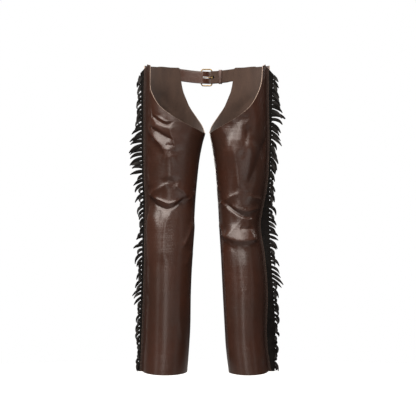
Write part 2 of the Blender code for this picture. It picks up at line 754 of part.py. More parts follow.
def rivet(name, across, offset, drop, material):
    """A low domed rivet cap that lies on the belt."""
    spot = belt_line(np.array(across), np.array(offset), np.array(belt_height(across)))
    further = belt_line(np.array(across), np.array(offset + 1), np.array(belt_height(across)))
    way = (further - spot) / np.linalg.norm(further - spot)
    aside = np.cross(way, (0, 0, 1))
    spot[2] = belt_height(across) + drop
    rings = ((1.0, 0.0), (1.0, 0.35), (0.75, 0.8), (0.35, 1.0))
    points = []
    sides = 10
    for wide, rise in rings:
        for turn in 2 * np.pi * np.arange(sides) / sides:
            flat = aside * math.cos(turn) + np.array((0, 0, math.sin(turn)))
            points.append(spot + flat * RIVET_RADIUS * wide + way * RIVET_RISE * rise)
    faces = [tuple(reversed(range(sides))), tuple(range(3 * sides, 4 * sides))]
    for ring in range(3):
        for s in range(sides):
            n = (s + 1) % sides
            low, high = ring * sides, (ring + 1) * sides
            faces.append((low + s, low + n, high + n, high + s))
    make_object(name, points, faces, material)


def rivets(material):
    """One cap holds each hip loop down and one holds each front panel's corner to the belt."""
    for side, hand in (("left", 1), ("right", -1)):
        top = LAP_OFFSET + BELT_THICK / 2 + GAP
        rivet(f"{side}_loop_rivet", hand * LOOP_RIVET, top, 0.0, material)
        top = PANEL_OFFSET + BELT_THICK / 2 + GAP
        rivet(f"{side}_corner_rivet", hand * CORNER_RIVET, top, CORNER_RIVET_DROP, material)


def main():
    clear_scene()
    brown = finish("brown_leather", (0.055, 0.022, 0.014), 0.35)
    black = finish("black_leather", (0.006, 0.005, 0.004), 0.5)
    brass = finish("antique_brass", (0.45, 0.33, 0.17), 0.35, 1.0)
    for side in ("left", "right"):
        panel(side, "back", BACK_ROWS, 8, (3, 11), brown)
        panel(side, "front", FRONT_ROWS, 5, (8, 4), brown)
        fringe(side, black)
    buckle_belt_half(brown)
    tongue_belt_half(brown)
    keeper(brown)
    buckle(brass)
    rivets(brass)


main()
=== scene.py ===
"""Brown leather chaps with black fringe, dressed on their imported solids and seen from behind.

Metres, +Z up; the front faces -Y and the left leg is at +X. The tables are in millimetres, with heights above
the ground. The frame's origin is the centre of the waist opening.
"""

import math

import bpy
import numpy as np
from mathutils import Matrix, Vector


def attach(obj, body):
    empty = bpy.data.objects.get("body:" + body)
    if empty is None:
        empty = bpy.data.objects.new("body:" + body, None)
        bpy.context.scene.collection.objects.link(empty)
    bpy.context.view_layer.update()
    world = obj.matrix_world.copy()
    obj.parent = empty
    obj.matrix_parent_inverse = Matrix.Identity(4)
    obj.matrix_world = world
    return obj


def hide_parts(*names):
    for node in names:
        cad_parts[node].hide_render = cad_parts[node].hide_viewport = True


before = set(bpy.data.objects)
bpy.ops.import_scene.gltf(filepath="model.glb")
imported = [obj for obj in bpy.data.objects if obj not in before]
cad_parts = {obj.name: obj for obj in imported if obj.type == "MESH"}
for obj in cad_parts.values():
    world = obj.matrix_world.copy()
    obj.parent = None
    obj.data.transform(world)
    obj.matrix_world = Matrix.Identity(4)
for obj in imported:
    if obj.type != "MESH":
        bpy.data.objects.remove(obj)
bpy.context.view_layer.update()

MM = 0.001
WAIST_HEIGHT = 963.0
HEM_HEIGHT = 63.0
HIP_START, HIP_FULL = 775.0, 930.0

LEATHER = 2.0
GAP = 0.3
BELT_THICK = 3.0
BELT_WIDTH = 38.0
BELT_DIP = 12.0
FIN_WIDTH = 9.0
FRONT_FIN_WIDTH = 8.0
FRONT_FIN_SHORT = 5.0
BEND_ANGLE = 12.0
SLANT_TOP = 982.0
FRONT_TOP = 980.0
BACK_HEM_DROP = 5.0
SLANT_CORNER = {"left": 176.0, "right": 172.0}
SPLIT_HEIGHT = 735.0
KNEE_FROM, KNEE_TO = 420.0, 645.0

# Each leg seen from behind: distance from the midline of its inner edge, of the brown leather's outer edge
# at the seam, and of the fringe strip's outer edge, where the strands start.
LEG_COLUMNS = ("height", "inner", "seam", "roots")
LEGS = {
    "left": (
        (60, 60, 201, 206),
        (140, 54, 197, 203),
        (190, 51, 195, 202),
        (300, 49, 191, 198),
        (420, 44, 188, 195),
        (516, 39, 187, 193),
        (570, 36, 186, 192),
        (640, 30, 189, 195),
        (700, 23, 190, 196),
        (750, 13, 190, 197),
        (775, 6, 190, 197),
        (830, 0, 190, 198),
        (880, -4, 190, 198),
        (930, -6, 189, 199),
        (985, -8, 188, 202),
    ),
    "right": (
        (60, 66, 192, 203),
        (140, 57, 181, 205),
        (190, 54, 179, 205),
        (300, 48, 182, 199),
        (420, 42, 172, 191),
        (500, 37, 161, 187),
        (545, 35, 167, 187),
        (600, 31, 178, 188),
        (640, 28, 183, 190),
        (700, 21, 186, 192),
        (750, 13, 187, 193),
        (775, 8, 187, 194),
        (830, 0, 186, 195),
        (880, -4, 185, 196),
        (930, -6, 185, 199),
        (985, -8, 184, 202),
    ),
}
# How far the leg and the hips reach to the front and to the back.
DEPTH_COLUMNS = ("height", "front", "back", "hip_front", "hip_back")
DEPTHS = (
    (60, -84, 102, -118, 122),
    (190, -83, 94, -118, 122),
    (300, -80, 92, -118, 122),
    (400, -82, 87, -118, 122),
    (500, -90, 77, -118, 122),
    (560, -93, 79, -118, 122),
    (650, -98, 87, -118, 122),
    (720, -103, 94, -118, 122),
    (775, -108, 99, -118, 124),
    (850, -114, 106, -119, 126),
    (925, -114, 107, -115, 119),
    (985, -112, 108, -114, 112),
)
# The cut edge over the seat, from the top at the hip down to the inner leg, and that of the open front.
SEAT_EDGE = {
    "left": ((169, 978), (168, 909), (158, 882), (140, 854), (113, 832), (82, 812), (47, 794), (7, 775)),
    "right": ((166, 976), (161, 923), (149, 889), (128, 854), (107, 834), (76, 813), (42, 794), (9, 776)),
}
FRONT_EDGE = ((84, 978), (72, 905), (54, 862), (32, 828), (14, 799), (6.5, 777))

# Creases: the points (across, height) that each passes, seen square on, the width of its upper or outer side
# and of its lower or inner side, how far it stands out, or in if negative, and how round its crest is.
CREASES = {
    ("left", "back"): (
        (((167, 834), (141, 819), (117, 807), (97, 814)), 3, 4, 1.6, 0.8),
        (((168, 831), (141, 806), (115, 797), (99, 812)), 9, 2.6, -4.0, 1.0),
        (((168, 828), (141, 802), (114, 793), (96, 808)), 2.6, 14, 2.0, 0.8),
        (((111, 795), (106, 770), (101, 747)), 6, 6, 2.0, 2.0),
        (((174, 915), (180, 880), (184, 850)), 8, 8, 1.4, 4.0),
        (((180, 806), (162, 774), (148, 755), (132, 738), (118, 704)), 8, 30, 9.5, 2.0),
        (((182, 800), (150, 781), (132, 769), (96, 750)), 5, 28, -7.5, 1.5),
        (((122, 741), (109, 737), (97, 742)), 4, 8, -3.2, 1.5),
        (((130, 716), (112, 711), (96, 718)), 16, 18, 4.5, 3.0),
        (((114, 722), (113, 685), (110, 628)), 14, 14, 4.5, 9.0),
        (((106, 628), (138, 612), (158, 600), (174, 578)), 6, 14, 3.4, 1.5),
        (((99, 622), (80, 608), (66, 596), (60, 578)), 6, 12, 3.4, 1.5),
        (((166, 588), (138, 575), (111, 566), (93, 571), (66, 582)), 3.5, 4, 2.8, 1.0),
        (((178, 592), (156, 564), (138, 554), (116, 548), (93, 557), (58, 588)), 7, 26, -9.0, 1.5),
        (((169, 577), (156, 558), (138, 548), (116, 542), (93, 552), (68, 572)), 4, 10, 2.2, 1.2),
        (((186, 580), (156, 516), (138, 494), (120, 516), (86, 580)), 34, 90, 9.5, 8.0),
        (((102, 570), (116, 524), (124, 480), (128, 380)), 20, 11, 4.5, 2.5),
        (((146, 500), (143, 400), (141, 300), (138, 110)), 22, 44, 2.2, 20.0),
        (((184, 704), (176, 650), (160, 604)), 8, 16, 2.8, 4.0),
        (((183, 625), (175, 578), (169, 532), (171, 488), (177, 366)), 3, 3, 1.2, 1.0),
        (((33, 630), (40, 612)), 4, 4, 1.5, 1.0),
        (((34, 604), (46, 588), (60, 572)), 4, 6, 2.5, 1.2),
        (((46, 514), (63, 462), (78, 430)), 4, 7, 3.0, 1.2),
        (((50, 424), (67, 378)), 5, 6, 1.5, 1.5),
        (((84, 300), (82, 210), (70, 150)), 7, 9, 1.8, 2.0),
    ),
    ("right", "back"): (
        (((148, 752), (116, 734), (80, 729), (40, 740)), 42, 44, 12.0, 7.0),
        (((150, 822), (112, 813), (76, 797), (46, 782)), 14, 32, -5.0, 4.0),
        (((108, 824), (99, 782), (86, 736)), 13, 12, 2.6, 5.0),
        (((64, 806), (58, 768), (55, 730)), 6, 6, 1.0, 2.0),
        (((128, 800), (112, 750), (100, 690)), 8, 9, -3.6, 3.0),
        (((140, 832), (124, 812), (108, 790)), 6, 5, 1.2, 1.5),
        (((80, 735), (87, 668), (93, 630), (99, 600)), 10, 10, 3.0, 4.0),
        (((184, 768), (162, 722), (140, 662), (117, 604)), 16, 12, -6.0, 3.0),
        (((100, 597), (80, 589), (60, 578), (54, 566)), 6, 9, 3.0, 1.5),
        (((117, 596), (135, 584), (160, 577), (170, 560)), 5, 12, 3.4, 1.5),
        (((62, 566), (93, 549), (120, 543), (147, 552), (166, 562)), 6, 5, 3.0, 1.5),
        (((57, 572), (66, 556), (87, 539), (108, 528), (142, 523)), 10, 3, -6.0, 1.2),
        (((55, 567), (67, 550), (88, 533), (109, 522), (144, 518)), 3, 14, 2.6, 1.0),
        (((150, 556), (158, 540), (160, 522)), 8, 8, 1.4, 3.0),
        (((44, 486), (72, 463), (104, 455), (158, 463)), 38, 8, 12.0, 4.0),
        (((96, 493), (114, 490), (133, 493)), 4, 4, -2.5, 2.0),
        (((42, 510), (54, 480), (68, 450), (84, 416)), 5, 5, -1.6, 1.5),
        (((34, 514), (57, 465), (78, 434)), 4, 5, 3.0, 1.2),
        (((116, 440), (115, 360), (113, 290), (109, 150)), 24, 32, 4.2, 18.0),
        (((100, 307), (109, 305), (119, 307)), 2.5, 2.5, 1.2, 1.0),
        (((30, 620), (43, 598)), 4, 4, 1.5, 1.0),
        (((40, 573), (56, 553)), 4, 5, 2.2, 1.2),
        (((46, 470), (59, 306), (65, 186), (70, 20)), 7, 5, 4.2, 2.0),
        (((40, 460), (52, 306), (58, 186), (62, 30)), 4, 3, -3.0, 1.5),
        (((158, 230), (163, 150), (160, 80)), 11, 11, 2.5, 4.0),
    ),
    ("left", "front"): (
        (((176, 566), (140, 560), (100, 552), (56, 556)), 6, 14, 4.6, 2.0),
        (((174, 556), (140, 549), (100, 541), (60, 546)), 9, 5, -4.4, 2.0),
        (((170, 520), (130, 498), (96, 492), (62, 502)), 6, 18, 4.6, 2.0),
        (((160, 506), (128, 487), (98, 482), (72, 492)), 7, 5, -3.4, 2.0),
        (((150, 905), (118, 868), (84, 832)), 12, 18, 3.4, 4.0),
        (((140, 880), (108, 842), (78, 806)), 10, 10, -2.2, 3.0),
        (((60, 780), (92, 745), (128, 728)), 12, 16, 3.0, 4.0),
        (((112, 730), (108, 650), (112, 590)), 13, 13, 3.4, 5.0),
        (((112, 470), (116, 340), (110, 200), (104, 110)), 18, 30, 4.2, 6.0),
        (((74, 420), (84, 330), (80, 250)), 7, 7, 2.2, 3.0),
        (((160, 300), (150, 220), (156, 120)), 8, 8, 2.0, 3.0),
        (((64, 128), (96, 112), (132, 116)), 7, 10, 3.0, 3.0),
    ),
    ("right", "front"): (
        (((170, 572), (134, 553), (96, 544), (54, 548)), 6, 15, 4.8, 2.0),
        (((168, 560), (134, 541), (98, 533), (60, 538)), 8, 5, -4.4, 2.0),
        (((164, 502), (124, 508), (90, 500), (60, 486)), 6, 16, 4.2, 2.0),
        (((146, 896), (112, 864), (82, 836)), 13, 17, 3.2, 4.0),
        (((138, 868), (106, 836), (76, 800)), 10, 10, -2.0, 3.0),
        (((56, 772), (88, 748), (120, 738), (150, 742)), 12, 16, 2.8, 4.0),
        (((100, 726), (104, 650), (98, 586)), 14, 13, 3.4, 5.0),
        (((108, 466), (104, 350), (110, 210), (114, 120)), 18, 30, 4.2, 6.0),
        (((70, 430), (78, 350), (76, 240)), 7, 7, 2.2, 3.0),
        (((152, 320), (146, 230), (150, 140)), 8, 9, 2.1, 3.0),
        (((72, 118), (104, 124), (140, 112)), 7, 10, 2.8, 3.0),
    ),
}

# The strands: their pitch, and at each height the length, the angles below level at the root and at the tip,
# and the root's width. Neighbours in a clump lean together and part to the front and the back.
STRAND_PITCH = 13.0
STRAND_SEED = 7
TOP_STRAND = 948.0
LOW_STRAND = 74.0
FRINGE_COLUMNS = ("height", "length", "start", "end", "width")
FRINGE = {
    "left": (
        (60, 27, 54, 100, 9.0),
        (120, 29, 40, 96, 9.0),
        (200, 31, 36, 100, 9.0),
        (250, 31, 30, 84, 9.5),
        (330, 32, 26, 74, 9.5),
        (410, 32, 26, 80, 9.5),
        (436, 36, 6, 30, 11.5),
        (456, 31, 18, 66, 10.0),
        (520, 29, 24, 98, 10.0),
        (600, 33, 22, 84, 10.0),
        (640, 37, 10, 50, 11.5),
        (690, 37, 0, 36, 12.6),
        (750, 39, 4, 42, 12.6),
        (790, 42, 20, 56, 11.5),
        (810, 35, 34, 96, 10.0),
        (880, 33, 34, 100, 8.5),
        (910, 29, 36, 100, 8.5),
        (935, 24, 50, 84, 12.6),
        (948, 24, 50, 80, 12.6),
    ),
    "right": (
        (60, 25, 44, 96, 9.5),
        (130, 27, 36, 122, 9.0),
        (220, 29, 32, 112, 9.0),
        (300, 35, 26, 78, 9.5),
        (340, 41, 20, 56, 10.5),
        (380, 33, 22, 66, 10.0),
        (440, 31, 10, 60, 11.5),
        (510, 31, 14, 76, 11.5),
        (560, 33, 20, 98, 10.5),
        (640, 33, 32, 92, 10.5),
        (680, 35, 48, 86, 11.5),
        (740, 38, 42, 82, 11.5),
        (790, 41, 18, 60, 12.0),
        (830, 45, 2, 38, 12.6),
        (870, 39, 25, 72, 12.5),
        (948, 24, 42, 78, 11.0),
    ),
}
LENGTH_JITTER, START_JITTER, END_JITTER = 0.16, 12.0, 20.0
SWAY, LEAN, CLUMPS = 7.0, 4.4, (2, 3, 2, 1, 3)
# One strand in so many stays short and curls right under.
CURLED, CURLED_LENGTH, CURLED_END, CURLS_BELOW = 2, 0.74, 46.0, 660.0

# The belt seen from the front: places along it from the midline, to the left if positive.
BELT_END = 143.0
HEEL_BAR, FREE_BAR = -15.0, 17.0
CLIMB_START, CLIMB_END = 14.0, -7.0
FOLD_LENGTH = 34.0
TONGUE_END = -74.0
LOOP_RADIUS, LOOP_LENGTH, LOOP_OPEN = 5.5, 42.0, 32.0
KEEPER_AT, KEEPER_WIDTH, KEEPER_THICK, KEEPER_EASE = -40.0, 9.0, 1.8, 0.8
BAR_RADIUS, PRONG_RADIUS = 2.0, 1.3
BUCKLE_HALF_HEIGHT, BUCKLE_CORNER = 25.0, 7.0
PRONG_SLOT = (17.0, 5.0)
WRAP_SLOT = (16.0, 9.0)
SLOT_AT = 4.0
RIVET_RADIUS, RIVET_RISE = 5.0, 2.2
LOOP_RIVET, CORNER_RIVET = 106.0, 94.0
CORNER_RIVET_DROP = -11.0

# Distances outside the leather's middle surface to the middle of each layer of the belt.
PANEL_OFFSET = LEATHER / 2 + GAP + BELT_THICK / 2
WRAP_RADIUS = BAR_RADIUS + 2 * GAP + BELT_THICK / 2
BAR_OFFSET = PANEL_OFFSET + WRAP_RADIUS
FOLD_OFFSET = PANEL_OFFSET + 2 * WRAP_RADIUS
TONGUE_OFFSET = FOLD_OFFSET + BELT_THICK + GAP
LAP_OFFSET = PANEL_OFFSET + BELT_THICK + GAP


# Numbers read from the tables


def column(rows, names, name):
    """One named column of a table."""
    place = names.index(name)
    return np.array([row[place] for row in rows], dtype=float)


def smooth(xs, ys, x):
    """A smooth curve through the points: cubic between neighbours, its slope at each point the mean of the
    slopes beside it."""
    steps = np.diff(ys) / np.diff(xs)
    slopes = np.concatenate([steps[:1], (steps[1:] + steps[:-1]) / 2, steps[-1:]])
    x = np.clip(x, xs[0], xs[-1])
    k = np.clip(np.searchsorted(xs, x, side="right") - 1, 0, len(xs) - 2)
    wide = xs[k + 1] - xs[k]
    t = (x - xs[k]) / wide
    start = ys[k] * (1 + 2 * t) * (1 - t) ** 2 + slopes[k] * wide * t * (1 - t) ** 2
    end = ys[k + 1] * t * t * (3 - 2 * t) + slopes[k + 1] * wide * t * t * (t - 1)
    return start + end


def ramp(x, low, high):
    """0 up to low, 1 from high on, smooth between."""
    t = np.clip((x - low) / (high - low), 0, 1)
    return t * t * (3 - 2 * t)


def along_points(points, count):
    """Points evenly spaced along a smooth curve through a few given ones, by their distances apart."""
    points = np.asarray(points, float)
    steps = np.linalg.norm(np.diff(points, axis=0), axis=1)
    run = np.concatenate([[0], np.cumsum(steps)])
    at = np.linspace(0, run[-1], count)
    if len(points) == 2:
        return points[0] + (points[1] - points[0]) * (at / run[-1])[:, None]
    return np.stack([smooth(run, points[:, k], at) for k in range(points.shape[1])], axis=-1)


def leg_value(side, name, height):
    rows = LEGS[side]
    return smooth(column(rows, LEG_COLUMNS, "height"), column(rows, LEG_COLUMNS, name), height)


def depth_value(name, height):
    return smooth(column(DEPTHS, DEPTH_COLUMNS, "height"), column(DEPTHS, DEPTH_COLUMNS, name), height)


# The leather's middle surface


def seam_depth(height):
    """Where the side seam lies between front and back: the middle of the leg, and 0 at the hips."""
    middle = (depth_value("front", height) + depth_value("back", height)) / 2
    return middle * (1 - ramp(height, HIP_START, HIP_FULL))


def outer_edge(side, face, height):
    """How far out the round of the leg comes before it turns into the flat fin at the seam."""
    if face == "back":
        return leg_value(side, "seam", height) - FIN_WIDTH
    return leg_value(side, "roots", height) - FRONT_FIN_SHORT - FRONT_FIN_WIDTH


def oval(side, face, angle, height):
    """A point of the round: the leg's own oval, turning into half of the hips' oval above the crotch. The
    angle is 0 at the side seam and 180 degrees at the inner leg."""
    turn = np.radians(angle)
    outer = outer_edge(side, face, height)
    inner = leg_value(side, "inner", height)
    middle = (depth_value("front", height) + depth_value("back", height)) / 2
    reach = np.abs(depth_value(face, height) - middle)
    sign = 1.0 if face == "back" else -1.0
    leg_x = inner + (outer - inner) * (1 + np.cos(turn)) / 2
    leg_y = middle + sign * reach * np.sin(turn)
    hip_x = outer * np.cos(turn / 2)
    hip_y = depth_value("hip_" + face, height) * np.sin(turn / 2)
    share = ramp(height, HIP_START, HIP_FULL)
    return leg_x * (1 - share) + hip_x * share, leg_y * (1 - share) + hip_y * share


def fin_edge(side, face, height):
    if face == "back":
        return leg_value(side, "seam", height)
    return leg_value(side, "roots", height) - FRONT_FIN_SHORT


def section(side, face, place, height):
    """A point of a panel's middle surface. Place runs from -2 at the fin's outer edge over -1 where the fin
    starts to bend and 0 where the round starts, on to 180 degrees at the inner leg."""
    place, height = np.broadcast_arrays(np.asarray(place, float), np.asarray(height, float))
    sign = 1.0 if face == "back" else -1.0
    fin_y = seam_depth(height) + sign * (LEATHER + GAP)
    edge = fin_edge(side, face, height)
    corner = outer_edge(side, face, height)
    start_x = corner + 0.3 * (edge - corner)
    angle = BEND_ANGLE + (180 - BEND_ANGLE) * np.clip(place, 0, None) / 180
    round_x, round_y = oval(side, face, angle, height)
    bend = np.clip(place + 1, 0, 1)
    first_x, first_y = oval(side, face, np.full_like(height, BEND_ANGLE), height)
    bend_x = (1 - bend) ** 2 * start_x + 2 * bend * (1 - bend) * corner + bend**2 * first_x
    bend_y = (1 - bend) ** 2 * fin_y + 2 * bend * (1 - bend) * fin_y + bend**2 * first_y
    flat_x = start_x + (edge - start_x) * np.clip(-1 - place, 0, 1)
    x = np.where(place >= 0, round_x, np.where(place >= -1, bend_x, flat_x))
    y = np.where(place >= 0, round_y, np.where(place >= -1, bend_y, fin_y))
    return x, y


def crease(across, height, points, upper, lower, rise, crest):
    """How far one crease pushes the leather: a ridge or trough along its line, which falls away on each side
    over the width given and fades out along the line towards both ends."""
    line = along_points(points, 48)
    step = np.gradient(line, axis=0)
    step = step / np.linalg.norm(step, axis=1, keepdims=True)
    travel = line[-1] - line[0]
    aside = np.array([-travel[1], travel[0]])
    shows = aside[1] if abs(travel[0]) > abs(travel[1]) else aside[0]
    turned = 1.0 if shows > 0 else -1.0
    reach = 3.2 * max(upper, lower) + crest
    low, high = line.min(axis=0) - reach, line.max(axis=0) + reach
    near = (across > low[0]) & (across < high[0]) & (height > low[1]) & (height < high[1])
    push = np.zeros_like(across)
    spot = np.stack([across[near], height[near]], axis=-1)
    if not len(spot):
        return push
    gaps = np.linalg.norm(spot[:, None] - line[None], axis=-1)
    at = gaps.argmin(axis=1)
    off = spot - line[at]
    length = np.linalg.norm(np.diff(line, axis=0), axis=1).sum()
    half_step = length / (len(line) - 1) / 2
    past = np.clip(np.sum(step[at] * off, axis=-1), -half_step, half_step)
    away = np.sqrt(np.maximum(gaps.min(axis=1) ** 2 - past**2, 0))
    side = np.sign(step[at, 0] * off[:, 1] - step[at, 1] * off[:, 0]) * away * turned
    t = np.clip(at / (len(line) - 1) + past / length, 0, 1)
    wide = np.where(side > 0, upper, lower)
    fall = (np.sqrt(side**2 + crest**2) - crest) / wide
    ends = ramp(np.minimum(t, 1 - t), 0, np.clip(0.8 * max(upper, lower) / length, 0.22, 0.42))
    push[near] = rise * ends * np.exp(-(fall**1.25))
    return push


def relief(side, face, across, height):
    """All the creases of a panel together."""
    push = np.zeros_like(across)
    for row in CREASES[side, face]:
        push = push + crease(across, height, *row)
    return push


def panel_point(side, face, place, height):
    """A point of a panel, its outward direction and how far it is pushed, in millimetres."""
    hand = 1.0 if side == "left" else -1.0
    sign = 1.0 if face == "back" else -1.0
    small_place, small_height = 0.02, 0.5

    def bare(p, h):
        x, y = section(side, face, p, h)
        return np.stack([hand * x, y, np.broadcast_to(h, x.shape)], axis=-1)

    place, height = np.broadcast_arrays(np.asarray(place, float), np.asarray(height, float))
    across = bare(place + small_place, height) - bare(place - small_place, height)
    upward = bare(place, height + small_height) - bare(place, height - small_height)
    way = np.cross(across, upward) * hand * sign
    way = way / np.linalg.norm(way, axis=-1, keepdims=True)
    spot = bare(place, height)
    calm = ramp(place, 1, 16) * (1 - ramp(place, 164, 179))
    push = relief(side, face, np.abs(spot[..., 0]), height) * calm
    return spot + way * push[..., None], way, push


# Meshes


def placed(points):
    """Millimetres above the ground, as metres in the frame."""
    return (np.asarray(points, float).reshape(-1, 3) - (0, 0, WAIST_HEIGHT)) * MM


def new_piece(name, points, faces, finishes, slots=None, values=None):
    """An object from points in millimetres and faces, with each face's finish, and named numbers that its
    finishes read at each point."""
    faces = np.asarray(faces, int)
    used, faces = np.unique(faces, return_inverse=True)
    faces = faces.reshape(-1, 4)
    points = np.asarray(points, float).reshape(-1, 3)[used]
    mesh = bpy.data.meshes.new(name)
    mesh.from_pydata(placed(points).tolist(), [], faces.tolist())
    for finish in finishes:
        mesh.materials.append(finish)
    if slots is not None:
        mesh.polygons.foreach_set("material_index", np.asarray(slots, np.int32))
    for key, number in (values or {}).items():
        layer = mesh.attributes.new(key, "FLOAT", "POINT")
        layer.data.foreach_set("value", np.asarray(number, np.float32).reshape(-1)[used])
    mesh.shade_smooth()
    mesh.set_sharp_from_angle(angle=math.radians(50))
    mesh.update()
    item = bpy.data.objects.new(name, mesh)
    bpy.context.scene.collection.objects.link(item)
    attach(item, "root")
    return item


def shell(outer, inner, keep=None):
    """A wall between two grids of points: both skins, and a rim round every open edge. The faces' kinds are
    0 outside, 1 inside and 2 on the rim."""
    rows, columns = outer.shape[:2]
    number = np.arange(rows * columns).reshape(rows, columns)
    cells = np.stack([number[:-1, :-1], number[:-1, 1:], number[1:, 1:], number[1:, :-1]], axis=-1)
    cells = cells.reshape(-1, 4) if keep is None else cells[keep]
    flat = outer.reshape(-1, 3)
    first = flat[cells]
    facing = np.cross(first[:, 2] - first[:, 0], first[:, 3] - first[:, 1])
    out = flat[cells[:, 0]] - inner.reshape(-1, 3)[cells[:, 0]]
    if np.sum(facing * out) < 0:
        cells = cells[:, ::-1]
    edges = np.stack([cells, np.roll(cells, -1, axis=1)], axis=-1).reshape(-1, 2)
    low, high = edges.min(axis=1), edges.max(axis=1)
    _, at, count = np.unique(low * rows * columns + high, return_index=True, return_counts=True)
    rim = edges[at[count == 1]]
    shift = rows * columns
    rims = np.stack([rim[:, 1], rim[:, 0], rim[:, 0] + shift, rim[:, 1] + shift], axis=-1)
    faces = np.concatenate([cells, cells[:, ::-1] + shift, rims])
    kinds = np.repeat([0, 1, 2], [len(cells), len(cells), len(rims)])
    return np.concatenate([flat, inner.reshape(-1, 3)]), faces, kinds


def rods(rings):
    """Closed round rods from rings of points: rings[rod, place along it, place round it]. The number of
    points round a rod is even, and its ends are filled with four-cornered faces."""
    count, steps, sides = rings.shape[:3]
    number = np.arange(count * steps * sides).reshape(count, steps, sides)
    ahead = np.roll(number, -1, axis=2)
    walls = np.stack([number[:, :-1], ahead[:, :-1], ahead[:, 1:], number[:, 1:]], axis=-1).reshape(-1, 4)
    caps = []
    for k in range(sides // 2 - 1):
        corners = [k, k + 1, sides - 2 - k, sides - 1 - k]
        caps.append(number[:, 0, corners[::-1]])
        caps.append(number[:, -1, corners])
    return rings.reshape(-1, 3), np.concatenate([walls] + caps)


def turned_out(points, faces):
    """The same faces, turned over if they point into the body they close."""
    corner = points[faces] - points.mean(axis=0)
    volume = np.sum(corner[:, 0] * np.cross(corner[:, 1], corner[:, 2]))
    volume += np.sum(corner[:, 0] * np.cross(corner[:, 2], corner[:, 3]))
    return faces if volume > 0 else faces[:, ::-1]


# The four leather panels


def edge_line(side, face):
    """The cut edge as places round the leg and heights, close together."""
    table = SEAT_EDGE[side] if face == "back" else FRONT_EDGE
    line = along_points(table, 120)
    tries = np.linspace(0, 180, 721)
    places = []
    for across, height in line:
        x, _ = section(side, face, tries, height)
        places.append(float(np.interp(-across, -x, tries)))
    return np.maximum.accumulate(places), line[:, 1]


def panel_grid(side, face, lower_rows, upper_rows, columns):
    """Places and heights of a panel's points. The rows run level up to the crotch, closest about the knee,
    and then fan out to the cut edge; the columns are closest where that edge drops steeply."""
    places, heights = edge_line(side, face)
    steep = float(np.interp(-880 if face == "back" else -905, -heights, places))
    fin, hip, down, over = columns
    across = np.concatenate([
        np.linspace(-2, 0, fin),
        np.linspace(0, places[0], hip)[1:],
        np.linspace(places[0], steep, down)[1:],
        np.linspace(steep, 180, over)[1:],
    ])
    hip_top = SLANT_TOP if face == "back" else FRONT_TOP
    hip_end = heights[0] if face == "back" else FRONT_TOP
    level = np.interp(across, [0, places[0]], [hip_top, hip_end])
    top = np.where(across < places[0], level, np.interp(across, places, heights))
    x, _ = section(side, face, across, SLANT_TOP - 10)
    slanted = np.minimum(hip_top, SLANT_TOP - (x - SLANT_CORNER[side]))
    top = np.where(across < 0, slanted, top)
    hem = np.full(len(across), HEM_HEIGHT)
    if face == "back":
        hem = HEM_HEIGHT - BACK_HEM_DROP * np.sin(np.radians(np.clip(across, 0, 180)))
    calf, knee, thigh = lower_rows
    marks = np.concatenate([
        np.linspace(HEM_HEIGHT, KNEE_FROM, calf, endpoint=False),
        np.linspace(KNEE_FROM, KNEE_TO, knee, endpoint=False),
        np.linspace(KNEE_TO, SPLIT_HEIGHT, thigh),
    ])
    low = (marks[:, None] - HEM_HEIGHT) / (SPLIT_HEIGHT - HEM_HEIGHT) * (SPLIT_HEIGHT - hem) + hem
    share = 1 - (1 - np.linspace(0, 1, upper_rows + 1)[1:, None]) ** 1.25
    high = SPLIT_HEIGHT + share * (top - SPLIT_HEIGHT)
    heights = np.concatenate([low, high])
    return np.broadcast_to(across, heights.shape), heights


def distance_to_line(points, line):
    """Each point's distance to a line of points joined by straight runs."""
    best = np.full(len(points), np.inf)
    for a, b in zip(line[:-1], line[1:]):
        run = b - a
        t = np.clip((points - a) @ run / max(run @ run, 1e-9), 0, 1)
        best = np.minimum(best, np.linalg.norm(points - a - t[:, None] * run, axis=1))
    return best


def leather_panel(side, face, finishes):
    """One panel as a thin wall with its creases, in place of the plain one."""
    counts = {
        "back": ((72, 125, 34), 84, (7, 12, 20, 92)),
        "front": ((70, 90, 26), 60, (7, 48, 12, 40)),
    }
    places, heights = panel_grid(side, face, *counts[face])
    spots, ways, push = panel_point(side, face, places, heights)
    sign = 1.0 if face == "back" else -1.0
    spots[:, -1, 1] = spots[:, -1, 1] + sign * GAP / 2
    outer = spots + ways * LEATHER / 2
    inner = spots - ways * LEATHER / 2
    cut = distance_to_line(outer.reshape(-1, 3), outer[-1])
    hem = distance_to_line(outer.reshape(-1, 3), outer[0, ::3])
    seam = distance_to_line(outer.reshape(-1, 3), outer[::6, 0])
    values = {"cut_edge": cut, "hem_edge": hem, "seam_edge": seam, "crease": push.reshape(-1)}
    points, faces, kinds = shell(outer, inner)
    values = {key: np.concatenate([number, number]) for key, number in values.items()}
    name = f"{side}_{face}_leather"
    piece = new_piece(name, points, faces, finishes, kinds, values)
    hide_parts(f"{side}_{face}_panel")
    return piece


# The fringe


